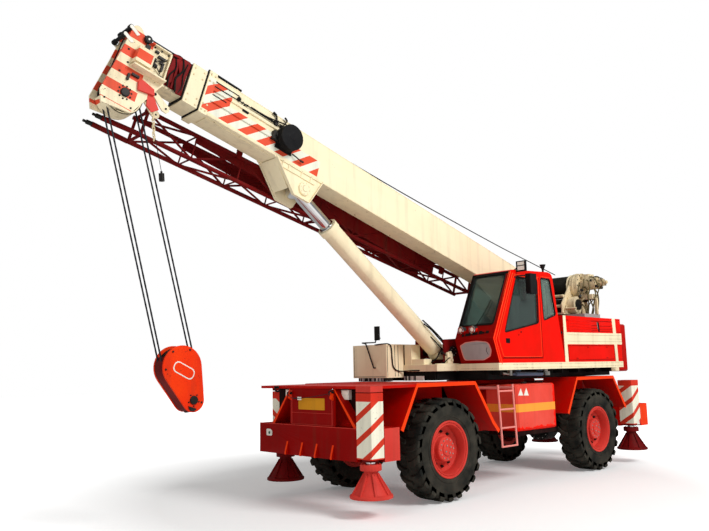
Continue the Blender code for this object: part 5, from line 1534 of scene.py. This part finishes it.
def woundDrum(radius, half, turns):
    # the outline of rope lying in turns: the radius follows half circles one rope wide
    s = np.linspace(0, turns, turns * 6 + 1)
    r = radius + winch["rope"] * np.abs(np.sin(np.pi * s))
    y = -half + 2 * half * s / turns
    return np.vstack(([(0.06, -half)], np.stack((r, y), 1), [(0.06, half)]))


for node, place, core, flange in (("winch_drum", winch["high"], 0.222, 0.249),
                                  ("auxiliary_winch_drum", winch["low"], 0.128, 0.149)):
    body = bodyOfNode[node]
    piece(node + "_rope",
          [turned(woundDrum(core, winch["half"], winch["turns"]), place, (0, 1, 0), 48)], blackRope,
          body, smooth=60, stands=(node,))
    shapes = [turned([(0.05, s), (flange - 0.012, s), (flange, s + 0.006), (flange, s + 0.024),
                      (flange - 0.012, s + 0.030), (0.05, s + 0.030)], place, (0, 1, 0), 56)
              for s in (-0.380, 0.350)]
    shapes.append(drum(np.add(place, (0, -0.45, 0)), np.add(place, (0, 0.45, 0)), 0.045, 20))
    shapes.append(bolts(ringOf(8, flange * 0.6, np.add(place, (0, 0.380, 0)), (0, 1, 0)), (0, 1, 0),
                        0.011, 0.010))
    piece(node + "_flanges", shapes, cream, body)

hx0, hz0 = winch["high"][0], winch["high"][2]
shapes = [bolts(ringOf(12, 0.235, (hx0, 0.60, hz0), (0, 1, 0)), (0, 1, 0), 0.013, 0.012),
          bolts(ringOf(8, 0.155, (hx0, 0.60, hz0), (0, 1, 0)), (0, 1, 0), 0.011, 0.010),
          bolts(ringOf(8, 0.105, (hx0 + 0.02, 0.93, hz0 + 0.03), (0, 1, 0)), (0, 1, 0), 0.010,
                0.009), turned([(0.0, 0.62), (0.11, 0.62), (0.11, 0.642), (0.0, 0.642)],
                               winch["low"], (0, 1, 0), 24, closed=False)]
shapes += [drum((x, y, z), (x + dx, y + dy, z + dz), r, 12)
           for x, y, z, dx, dy, dz, r in ((-2.92, 0.70, 3.585, 0, 0.0, 0.045, 0.018),
                                          (-3.03, 0.72, 3.585, 0, 0, 0.05, 0.02),
                                          (-2.88, 0.84, 3.62, 0.05, 0.03, 0.0, 0.022),
                                          (-3.10, 0.88, 3.48, 0, 0.09, 0, 0.03),
                                          (-2.92, 0.90, 3.50, 0.04, 0.08, 0.0, 0.026),
                                          (-2.84, 0.66, 3.44, 0.06, 0.02, 0, 0.03),
                                          (-2.80, 0.62, 3.30, 0.05, 0.05, 0.02, 0.028),
                                          (-2.94, 0.62, 3.22, 0.04, 0.10, 0, 0.03))]
piece("winch_fittings", shapes, darkSteel, "turret", bevel=0.002)
shapes = []
for points, radius in (([(-2.86, 0.70, 3.66), (-2.80, 0.74, 3.64), (-2.79, 0.72, 3.52),
                         (-2.80, 0.66, 3.38), (-2.78, 0.62, 3.24)], 0.013),
                       ([(-2.88, 0.76, 3.64), (-2.80, 0.83, 3.60), (-2.80, 0.85, 3.44),
                         (-2.83, 0.78, 3.30), (-2.82, 0.66, 3.20)], 0.013),
                       ([(-2.90, 0.80, 3.70), (-2.86, 0.92, 3.67), (-2.86, 0.98, 3.57),
                         (-2.90, 0.99, 3.50), (-2.96, 0.94, 3.48)], 0.014),
                       ([(-2.94, 0.80, 3.68), (-2.92, 0.97, 3.69), (-2.93, 1.06, 3.60),
                         (-2.96, 1.04, 3.50), (-3.02, 0.96, 3.46)], 0.012),
                       ([(-2.84, 0.70, 3.50), (-2.79, 0.79, 3.46), (-2.78, 0.82, 3.30),
                         (-2.82, 0.80, 3.12), (-2.84, 0.76, 2.935)], 0.015),
                       ([(-2.90, 0.90, 3.44), (-2.84, 0.95, 3.34), (-2.84, 0.90, 3.14),
                         (-2.88, 0.82, 2.935)], 0.014),
                       ([(-2.84, 0.62, 3.60), (-2.79, 0.62, 3.52), (-2.77, 0.60, 3.40),
                         (-2.76, 0.58, 3.28)], 0.010),
                       ([(-2.98, 0.93, 3.56), (-2.93, 1.00, 3.54), (-2.90, 1.00, 3.44),
                         (-2.90, 0.95, 3.32), (-2.92, 0.84, 3.22), (-2.92, 0.74, 3.12),
                         (-2.90, 0.70, 2.935)], 0.012),
                       ([(-3.06, 0.80, 3.66), (-3.04, 0.98, 3.67), (-3.03, 1.08, 3.58),
                         (-3.02, 1.09, 3.50)], 0.010),
                       ([(-2.98, 0.66, 3.40), (-2.90, 0.74, 3.36), (-2.90, 0.80, 3.22),
                         (-2.96, 0.82, 3.06), (-2.96, 0.80, 2.935)], 0.015),
                       ([(-3.04, 0.84, 3.44), (-2.98, 0.92, 3.36), (-3.00, 0.92, 3.18),
                         (-3.02, 0.86, 2.935)], 0.014),
                       ([(-2.76, 0.66, 3.14), (-2.70, 0.74, 3.12), (-2.70, 0.80, 3.02),
                         (-2.74, 0.80, 2.935)], 0.014)):
    shapes.append(hose(points, radius, 8))
piece("winch_hoses", shapes, winchHose, "turret", smooth=60)
shapes = [brick((-3.12, -2.86), (0.64, 0.82), (3.575, 3.60)),
          drum((-3.0, 0.93, 3.57), (-3.0, 1.06, 3.57), 0.075, 24),
          drum((-3.0, 1.05, 3.57), (-3.0, 1.13, 3.57), 0.035, 16),
          slab([(-2.46, 2.982), (-2.62, 3.30), (-2.66, 3.30), (-2.52, 2.982)], "XZ", 0.46, 0.475),
          slab([(-3.2, 2.982), (-3.05, 3.30), (-3.01, 3.30), (-3.14, 2.982)], "XZ", 0.46, 0.475),
          slab([(-3.08, 2.936), (-3.04, 2.936), (-2.97, 3.34), (-3.01, 3.34)], "XZ", 0.60, 0.66),
          slab([(-2.70, 2.936), (-2.66, 2.936), (-2.78, 3.20), (-2.82, 3.20)], "XZ", 0.60, 0.64),
          slab([(-2.98, 2.936), (-2.93, 2.936), (-2.93, 3.26), (-2.98, 3.26)], "XZ", 0.86, 0.92),
          brick((-3.05, -2.80), (0.70, 0.90), (3.24, 3.34)),
          turned([(0.10, 0.478), (0.262, 0.478), (0.266, 0.484), (0.266, 0.508), (0.262, 0.514),
                  (0.10, 0.514)], winch["high"], (0, 1, 0), 48),
          drum((-2.55, -0.408, 3.33), (-2.55, 0.408, 3.33), 0.032, 16),
          drum((-2.50, 0.44, 3.06), (-2.50, 0.70, 3.06), 0.02, 12)]
piece("winch_brackets", shapes, creamDirty, "turret", bevel=0.003)
shapes = [brick((-3.10, -2.42), (0.45, 0.95), (2.8235, 2.86)),
          brick((-3.06, -2.46), (0.50, 0.90), (2.86, 2.935))]
piece("winch_side_tray", shapes, greyPanel, "turret", bevel=0.004)
print("winches made")


# Cabinet at the turret's right front: its door seams, its hose, and the blocks along its foot
shapes = [tube([(x, -0.3495, 1.80), (x, -0.3495, 2.325)], 0.005, 6) for x in (1.828, 1.649, 1.569)]
shapes += [brick((1.4205, 1.4235), (-0.352, -0.335), (1.80, 2.33)),
           brick((1.42, 1.4255), (-0.245, -0.195), (1.925, 1.985)),
           tube([(1.8515, y, 1.80) for y in (-1.14, -0.76, -0.38)], 0.004, 6)]
shapes += [tube([(1.8515, y, z) for y, z in ((-1.14, 1.80), (-1.14, 2.31))], 0.003, 6)]
piece("cabinet_seams", shapes, gasket, "turret")
shapes = [hose([(1.872, -0.60, 2.336), (1.86, -0.44, 2.346), (1.80, -0.345, 2.344),
                (1.745, -0.334, 2.29), (1.728, -0.334, 2.10), (1.70, -0.334, 1.955),
                (1.60, -0.334, 1.895), (1.50, -0.30, 1.885), (1.455, -0.18, 1.89),
                (1.45, 0.02, 1.892)], 0.010, 8, 80)]
shapes += [tube([(0.9955, -1.36, 2.50), (0.97, -1.36, 2.50)], 0.008, 6),
           brick((0.985, 0.996), (-1.44, -1.36), (2.475, 2.705))]
shapes += [slab(softened([(-1.442, 2.475), (-1.355, 2.47), (-1.352, 2.70), (-1.43, 2.715)], 0.02),
                "YZ", 1.0445, 1.052)]
piece("cabinet_hose", shapes, hoseRubber, "turret")
tone = {"pale": [], "dark": [], "grey": []}
plan = "gdggdddgddggddwdggdgdd"
for k, letter in enumerate(plan):
    y = -1.0 + 0.029 * k
    kind = {"g": "grey", "d": "dark", "w": "pale"}[letter]
    tone[kind].append(brick((1.80, 1.856 + 0.004 * (k % 3)), (y, y + 0.024),
                            (1.724 + 0.003 * (k % 2), 1.776)))
for k in range(13):
    y = -0.335 + 0.034 * k
    kind = ("grey", "dark", "pale", "dark", "grey", "pale")[k % 6] if k < 8 else "pale"
    tone[kind].append(brick((1.42, 1.452), (y, y + 0.029), (1.724, 1.80)))
# a black block behind the row, under the cabinet, is a dark stand-in for the shade there
tone["dark"].append(brick((1.70, 1.795), (-1.10, -0.36), (1.724, 1.80)))
piece("blocks_grey", tone["grey"], greyPanel, "turret", bevel=0.002)
piece("blocks_dark", tone["dark"], hoseRubber, "turret", bevel=0.002)
piece("blocks_pale", tone["pale"], whitePaint, "turret", bevel=0.002)
shapes = [slab([(-0.155, 1.99), (0.062, 1.99), (0.062, 2.075), (-0.05, 2.10), (-0.155, 2.05)], "YZ",
               1.19, 1.20), brick((1.20, 1.30), (-0.155, -0.145), (1.99, 2.06)),
          brick((1.20, 1.28), (0.05, 0.062), (1.99, 2.06))]
piece("foot_guard", shapes, greyPanel, "turret", bevel=0.002)
shapes = [brick((1.02, 1.15), (0.335, 0.395), (2.0, 2.16)),
          brick((1.035, 1.075), (0.345, 0.385), (2.16, 2.20)),
          brick((1.10, 1.14), (0.345, 0.385), (2.16, 2.185)),
          drum((1.05, 0.395, 2.05), (1.05, 0.42, 2.05), 0.018, 12),
          drum((1.12, 0.395, 2.09), (1.12, 0.42, 2.09), 0.016, 12),
          slab([(0.86, 1.9885), (1.40, 1.9885), (1.40, 2.0), (0.86, 2.0)], "XZ", 0.33, 0.398)]
piece("valve_block", shapes, cream, "turret", bevel=0.003)
shapes = [hose([(1.16, 0.37, 2.13), (1.22, 0.30, 2.20), (1.20, 0.20, 2.10), (1.26, 0.12, 2.02)],
               0.011), hose([(1.04, 0.36, 2.19), (1.0, 0.30, 2.24), (0.96, 0.22, 2.10),
                             (1.02, 0.16, 2.01)], 0.011),
          hose([(1.12, 0.42, 2.09), (1.18, 0.43, 2.08), (1.24, 0.40, 2.02), (1.25, 0.37, 2.0)],
               0.009)]
piece("valve_hoses", shapes, hoseRubber, "turret", smooth=60)
shapes = [hose([(1.464, 0.17, 2.661), (1.30, 0.19, 2.56), (1.14, 0.19, 2.44), (1.00, 0.20, 2.33),
                (0.90, 0.20, 2.26)], 0.012, 8, 48),
          hose([(1.50, 0.175, 2.72), (1.34, 0.205, 2.60), (1.16, 0.215, 2.47), (1.00, 0.215, 2.35),
                (0.86, 0.215, 2.25)], 0.012, 8, 48),
          hose([(1.287, 0.15, 2.451), (1.20, 0.165, 2.38), (1.10, 0.18, 2.29), (1.0, 0.185, 2.22)],
               0.010, 8, 32)]
piece("lift_cylinder_hoses", shapes, hoseRubber, bodyOfNode["lift_cylinder_barrel"], smooth=60)
print("cabinet and hydraulics made")


# Turret deck: ridges along its edge, pin caps' bolts, the fittings that hang below, and a black
# frame that stands in for the shade beneath it
shapes = [tube([(-3.195, 1.2495, z), (0.910, 1.2495, z)], 0.004, 6) for z in (1.905, 1.962)]
shapes += [bolts([(x, 1.2495, 1.932) for x in (0.62, -0.75, -1.25, -2.4, -3.05)], (0, 1, 0), 0.010,
                 0.0005), tube([(0.9155, 0.48, 1.905), (0.9155, 1.24, 1.905)], 0.004, 6)]
piece("deck_edge_lines", shapes, creamDirty, "turret")
shapes = []
for x, z in ((-1.55, 3.34), (0.95, 2.20)):
    for side in (1, -1):
        shapes.append(bolts(ringOf(6, 0.062, (x, side * 0.36, z), (0, side, 0)), (0, side, 0),
                            0.010, 0.009))
piece("pin_cap_bolts", shapes, brightSteel, "turret", smooth=25)
shapes = [drum((0.23, 1.08, 1.800), (-0.55, 1.08, 1.790), 0.034, 20),
          drum((0.25, 1.08, 1.80), (0.32, 1.08, 1.80), 0.018, 12)]
shapes += [brick((x, x + 0.03), (1.03, 1.13), (1.845, 1.8735)) for x in (0.15, -0.50)]
piece("under_deck_tube", shapes, blueGrey, "turret", bevel=0.002)
# a black frame fills the gap beneath the turret deck, a dark stand-in for the shade there
under, over = 1.725, 1.8735
shapes = [brick((-3.15, 0.86), (y - 0.02, y + 0.02), (under, over)) for y in (-0.95, 0.95)]
shapes += [brick((-3.15, -3.11), (-0.93, 0.93), (under, over)),
           brick((0.82, 0.86), (-0.93, 0.93), (under, over)),
           brick((0.86, 1.38), (0.28, 0.32), (under, over)),
           brick((1.36, 1.40), (-1.12, 0.32), (under, over)),
           brick((0.86, 1.38), (-1.12, -1.08), (under, over))]
shapes += [brick((x, x + 0.05), (0.97, 1.15), (1.80, over))
           for x in (-2.9, -2.3, -1.7, -1.15, 0.70)]
piece("turret_under_frame", shapes, gasket, "turret")
shapes = [brick((-0.72, -0.58), (1.02, 1.14), (1.765, 1.83)),
          drum((-0.58, 1.08, 1.79), (-0.555, 1.08, 1.79), 0.026, 14),
          drum((0.42, 1.10, 1.80), (0.60, 1.09, 1.82), 0.016, 10),
          brick((-0.70, -0.60), (1.05, 1.11), (1.83, 1.8735)),
          brick((0.38, 0.44), (1.06, 1.12), (1.78, 1.8735))]
piece("under_deck_valve", shapes, brightSteel, "turret", bevel=0.002)
shapes = [hose([(0.60, 1.09, 1.82), (0.50, 1.02, 1.78), (0.36, 0.95, 1.80), (0.20, 0.92, 1.84)],
               0.010), hose([(-0.72, 1.08, 1.80), (-0.85, 1.02, 1.79), (-1.0, 0.95, 1.82),
                             (-1.1, 0.90, 1.85)], 0.010)]
piece("under_deck_hoses", shapes, hoseRubber, "turret", smooth=60)
print("turret deck finished")


# Jack housings: where each runs along X, left then right, and the height of the pads
jack = {"front": ((3.552, 3.786), (3.252, 3.546)), "rear": ((-3.754, -3.460), (-4.060, -3.760)),
        "across": 1.105, "low": 0.25}

# Carrier front: blank plate, wire sling, headlamps in their recesses, seams, marker lamp
shapes = [slab(softened([(-0.296, 1.366), (0.296, 1.366), (0.296, 1.531), (-0.296, 1.531)], 0.008,
                        3), "YZ", 3.7695, 3.7745)]
piece("blank_plate", shapes, platePaint, "carrier", bevel=0.001)
shapes = [tube([(3.7715, -0.47, z), (3.7715, 0.47, z)], 0.003, 6)
          for z in (1.156, 1.32)] + [tube([(3.7715, y, 1.16), (3.7715, y, 1.64)], 0.0055, 6)
                                     for y in (-0.455, 0.455)]
shapes += [tube([(3.7865, -1.24, 1.1385), (3.7865, 0.95, 1.1385)], 0.005, 6)]
piece("front_panel_seams", shapes, salmon, "carrier")
sling = [(3.83, -0.475, 1.575), (3.85, -0.36, 1.535), (3.855, -0.18, 1.528), (3.85, 0.05, 1.548),
         (3.842, 0.28, 1.575), (3.83, 0.475, 1.60)]
shapes = [hose(sling, 0.0045, 8, 60)]
for y, z in ((-0.475, 1.585), (0.475, 1.61)):
    loop = np.array([(3.80 + 0.036 * math.cos(t), y + 0.012 * math.sin(t), z + 0.045 * math.sin(t))
                     for t in np.linspace(0, 2 * math.pi, 25)])
    shapes.append(tube(loop, 0.006, 8))
shapes.append(drum((3.853, -0.30, 1.530), (3.8535, -0.24, 1.527), 0.009, 10))
piece("tow_sling", shapes, ropeSteel, "carrier")
piece("sling_tag", [brick((3.850, 3.8565), (-0.215, -0.13), (1.505, 1.55))], whitePaint, "carrier",
      bevel=0.001)
shapes = [drum((3.80, y - 0.045, z), (3.80, y + 0.045, z), 0.017, 14)
          for y, z in ((-0.475, 1.60), (0.475, 1.62))]
shapes += [brick((3.745, 3.80), (-0.86, -0.78), (1.668, 1.702)),
           hose([(3.79, -0.84, 1.69), (3.83, -0.80, 1.65), (3.82, -0.74, 1.62),
                 (3.79, -0.72, 1.65)], 0.013)]
piece("tow_hooks", shapes, gasket, "carrier", bevel=0.002)
shapes, glass, bezels = [], [], []
for side in (1, -1):
    shapes.append(slab([(side * 0.50, 1.66), (side * 0.953, 1.66), (side * 0.953, 1.16),
                        (side * 0.93, 1.155), (side * 0.505, 1.63)], "YZ", 3.620, 3.630))
    span = sorted((side * 0.565, side * 0.715))
    bezels.append(brick((3.630, 3.690), span, (1.515, 1.65)))
    glass += [brick((3.689, 3.696), sorted((side * 0.578, side * 0.702)), (z, z + 0.054))
              for z in (1.524, 1.586)]
piece("lamp_recesses", shapes, shadowRed, "carrier")
piece("headlamp_boxes", bezels, whitePaint, "carrier", bevel=0.004)
piece("headlamp_lenses", glass, lampLens, "carrier", bevel=0.003)
# the right skirt takes the darker red as painted shade; the left one keeps salmon
for side, x, y, finish in (("left", jack["front"][0], (0.962, 1.2485), salmon),
                           ("right", jack["front"][1], (-1.2485, -0.962), deepRed)):
    piece(side + "_deck_skirt", [brick(x, y, (1.622, 1.7035))], finish, "carrier", bevel=0.003)
shapes = [slab(softened([(-1.065, 0.955), (-0.93, 0.955), (-0.925, 1.03), (-0.97, 1.055),
                         (-1.065, 1.055)], 0.02), "YZ", 3.785, 3.797)]
piece("marker_lamp", shapes, whitePaint, "carrier", bevel=0.002)
piece("marker_lens",
      [turned([(0.0, 0.0), (0.022, 0.0), (0.022, 0.006), (0.0, 0.009)], (3.797, -0.985, 1.0),
              (1, 0, 0), 20, closed=False)], greenLens, "carrier")
rearX = -4.060
shapes = [brick((rearX - 0.0045, rearX - 0.0005), (-0.28, 0.28), (0.86, 0.98))]
piece("rear_blank_plate", shapes, whitePaint, "carrier", bevel=0.001)
shapes, red = [], []
for side in (1, -1):
    shapes.append(brick((rearX - 0.030, rearX - 0.0005), sorted((side * 0.55, side * 0.86)),
                        (0.84, 0.99)))
    red += [brick((rearX - 0.036, rearX - 0.029), sorted((side * y, side * (y + 0.085))),
                  (0.855, 0.975)) for y in (0.565, 0.662, 0.76)]
piece("rear_lamp_boxes", shapes, blackPlastic, "carrier", bevel=0.003)
piece("rear_lamps", red, redLens, "carrier", bevel=0.003)
shapes = [turned([(0.02, 0.0), (0.09, 0.0), (0.09, 0.02), (0.05, 0.024), (0.02, 0.024)],
                 (rearX - 0.0005, 0, 1.28), (-1, 0, 0), 24),
          brick((rearX - 0.07, rearX - 0.0), (-0.02, 0.02), (1.26, 1.30))]
piece("rear_tow_eye", shapes, darkSteel, "carrier", bevel=0.003)
print("carrier ends fitted")


# Fenders' edge strips, tank signs, ladder, springs
shapes = []
for outline in ([(3.222, 1.099), (2.869, 1.716), (1.539, 1.716), (1.105, 1.09), (0.97, 0.946)],
                [(-1.042, 1.10), (-1.414, 1.716), (-2.762, 1.716), (-3.203, 1.111)]):
    for side in (1, -1):
        p = np.array(outline)
        d = np.gradient(p, axis=0)
        normal = np.stack((d[:, 1], -d[:, 0]), 1)
        normal /= np.linalg.norm(normal, axis=1, keepdims=True)
        normal *= np.sign((normal[:, 1] < 0) * 2.0 - 1.0)[:, None]
        net = np.zeros((len(p), 4, 3))
        for k, (offset, y) in enumerate(((0.0, 1.2425), (0.0, 1.2495), (0.058, 1.2495),
                                         (0.058, 1.2425))):
            net[:, k, ::2] = p + normal * offset
            net[:, k, 1] = side * y
        shapes.append(capped(net))
piece("fender_edges", shapes, edgeOrange, "carrier")
triangles = [[(0.363, 1.454), (0.284, 1.567), (0.222, 1.448)],
             [(0.206, 1.448), (0.125, 1.571), (0.063, 1.442)]]
shapes = [slab(t, "XZ", *sorted((side * 1.199, side * 1.2035))) for t in triangles
          for side in (1, -1)]
piece("tank_triangles", shapes, whitePaint, "carrier")
shapes = [brick((-0.76, 0.395), sorted((side * 0.60, side * 1.17)), (0.80, 0.869))
          for side in (1, -1)]
piece("tank_trays", shapes, shadowRed, "carrier", bevel=0.004)
shapes = [drum((-0.10, side * 1.0, 1.63), (-0.10, side * 1.0, 1.665), 0.05, 20) for side in (1, -1)]
piece("tank_caps", shapes, darkSteel, "carrier", bevel=0.003)
dress("left_ladder", paleSalmon, 0.0)
shapes = []
for end in (1, -1):
    for side in (1, -1):
        x, y = end * 2.15, side * 0.31
        for k in range(5):
            length = 0.52 - 0.075 * k
            points = np.array([(x + length * u, y, 1.035 - 0.022 * k)
                               for u in np.linspace(-1, 1, 9)])
            points[:, 2] -= 0.03 * (1 - ((points[:, 0] - x) / 0.52) ** 2)
            shapes.append(carried(points,
                                  [(-0.035, -0.009), (0.035, -0.009), (0.035, 0.009),
                                   (-0.035, 0.009)]))
piece("leaf_springs", shapes, shadowRed, "carrier", smooth=30)
print("carrier sides finished")


# Jack feet: a flared cone with ribs, a bolted collar and the pad
def jackFoot(name, place, finish):
    x, y = place
    low = jack["low"]
    cone = [(0.0, 0.0), (0.286, 0.0), (0.290, 0.006), (0.290, 0.032), (0.282, 0.040),
            (0.245, 0.052), (0.108, 0.262), (0.095, 0.285), (0.094, 0.346), (0.142, 0.350),
            (0.145, 0.356), (0.145, 0.422), (0.140, 0.430), (0.066, 0.431), (0.0, 0.431)]
    shapes = [turned(cone, (x, y, low), (0, 0, 1), 48, closed=False)]
    for k in range(8):
        turn = 2 * math.pi * (k + 0.3) / 8
        along, off = np.array((math.cos(turn), math.sin(turn), 0)), np.array((-math.sin(turn),
                math.cos(turn), 0)) * 0.008
        line = [np.array((x, y, low)) + along * r + (0, 0, z)
                for r, z in ((0.088, 0.038), (0.272, 0.038), (0.264, 0.062), (0.128, 0.278),
                             (0.108, 0.315), (0.088, 0.315))]
        shapes.append(capped(np.stack((np.array(line) - off, np.array(line) + off))))
    shapes.append(bolts(ringOf(8, 0.118, (x, y, low + 0.431), (0, 0, 1)), (0, 0, 1), 0.011, 0.011))
    body = bodyOfNode[name]
    piece(name + "_cone", shapes, finish, body, smooth=30, stands=(name,))
    piece(name + "_leg", [drum((x, y, 0.67), (x, y, 1.50), 0.0648, 28)], plated, body)
    flange = turned([(0.074, 0.712), (0.110, 0.712), (0.116, 0.718), (0.116, 0.7415),
                     (0.074, 0.7415)], (x, y, 0.0), (0, 0, 1), 40)
    piece(name + "_seat",
          [flange, bolts(ringOf(8, 0.095, (x, y, 0.712), (0, 0, -1)), (0, 0, -1), 0.009, 0.008)],
          darkRed, bodyOfNode[name.replace("jack_foot", "outrigger_beam")], smooth=30)


# the left front foot takes salmon; the other three take darkRed as painted shade
for end in ("front", "rear"):
    for side, (xa, xb) in zip((1, -1), jack[end]):
        sideName = "left" if side > 0 else "right"
        jackFoot(sideName + "_" + end + "_jack_foot", ((xa + xb) / 2, side * jack["across"]),
                 salmon if sideName + end == "leftfront" else darkRed)
shapes = [slab([(-3.585, 0.732), (-3.645, 0.870), (-3.70, 0.732)], "XZ", 1.2495, 1.2535)]
piece("rear_small_triangle", shapes, whitePaint, bodyOfNode["left_rear_outrigger_beam"])
shapes = []
for end, sign in (("front", 1), ("rear", -1)):
    x = sign * 2.15
    shapes.append(bolts(ringOf(14, 0.225, (x + 0.17, 0, 0.745), (1, 0, 0)), (1, 0, 0), 0.012,
                        0.011))
    shapes.append(bolts(ringOf(8, 0.062, (x - sign * 0.42, 0, 0.775), (-sign, 0, 0)), (-sign, 0, 0),
                        0.010, 0.009))
piece("axle_bolts", shapes, brightSteel, "carrier", smooth=25)
print("jacks and axles finished")


# Floor, lights and the bright surroundings
studio = {"floor": (250, 250, 249), "key": 2350.0, "fill": 300.0, "sky": 0.34, "glow": 0.14,
          "fade": (4.2, 8.5)}


def floorMaterial():
    material, tree, shader = newMaterial("paleFloor", 0.85)
    place = tree.nodes.new("ShaderNodeTexCoord").outputs["Object"]
    grain = noiseNode(tree, place, 7.0, 4)
    tree.links.new(mixColour(tree, grain, linear(*studio["floor"]), linear(244, 244, 243)),
                   shader.inputs["Base Color"])
    seen = tree.nodes.new("ShaderNodeLightPath").outputs["Is Camera Ray"]
    shader.inputs["Emission Color"].default_value = (1, 1, 1, 1)
    # the camera sees the floor grow white with distance, so that it shows no horizon
    away = tree.nodes.new("ShaderNodeVectorMath")
    away.operation = "LENGTH"
    tree.links.new(place, away.inputs[0])
    white = spread(tree, away.outputs["Value"], *studio["fade"], studio["glow"], 1.0)
    tree.links.new(mathNode(tree, "MULTIPLY", seen, white), shader.inputs["Emission Strength"])
    return material


floorMesh = bpy.data.meshes.new("floor")
floorMesh.from_pydata([(-60, -60, -0.002), (60, -60, -0.002), (60, 60, -0.002), (-60, 60, -0.002)],
                      [], [(0, 1, 2, 3)])
floorMesh.materials.append(floorMaterial())
floor = bpy.data.objects.new("floor", floorMesh)
bpy.context.scene.collection.objects.link(floor)


def addLight(name, place, target, size, power):
    lamp = bpy.data.lights.new(name, "AREA")
    lamp.shape = "DISK"
    lamp.size = size
    lamp.energy = power
    made = bpy.data.objects.new(name, lamp)
    bpy.context.scene.collection.objects.link(made)
    toward = Vector(target) - Vector(place)
    made.matrix_world = Matrix.Translation(place) @ toward.to_track_quat("-Z",
            "Y").to_matrix().to_4x4()


addLight("key", (-1.0, 15.0, 12.0), (-1.4, 0, 1.6), 7.0, studio["key"])
addLight("fill", (14.0, 3.0, 7.0), (-1.0, 0, 1.8), 6.0, studio["fill"])

world = bpy.data.worlds.new("studioWorld")
world.use_nodes = True
bpy.context.scene.world = world
tree = world.node_tree
rays = tree.nodes.new("ShaderNodeLightPath").outputs
shown = mathNode(tree, "MAXIMUM", rays["Is Camera Ray"], rays["Is Transmission Ray"])
background = tree.nodes["Background"]
background.inputs["Color"].default_value = (1, 1, 1, 1)
tree.links.new(spread(tree, shown, 0.0, 1.0, studio["sky"], 1.0), background.inputs["Strength"])
bpy.context.scene.view_settings.view_transform = "Standard"
print("stage and lights set")
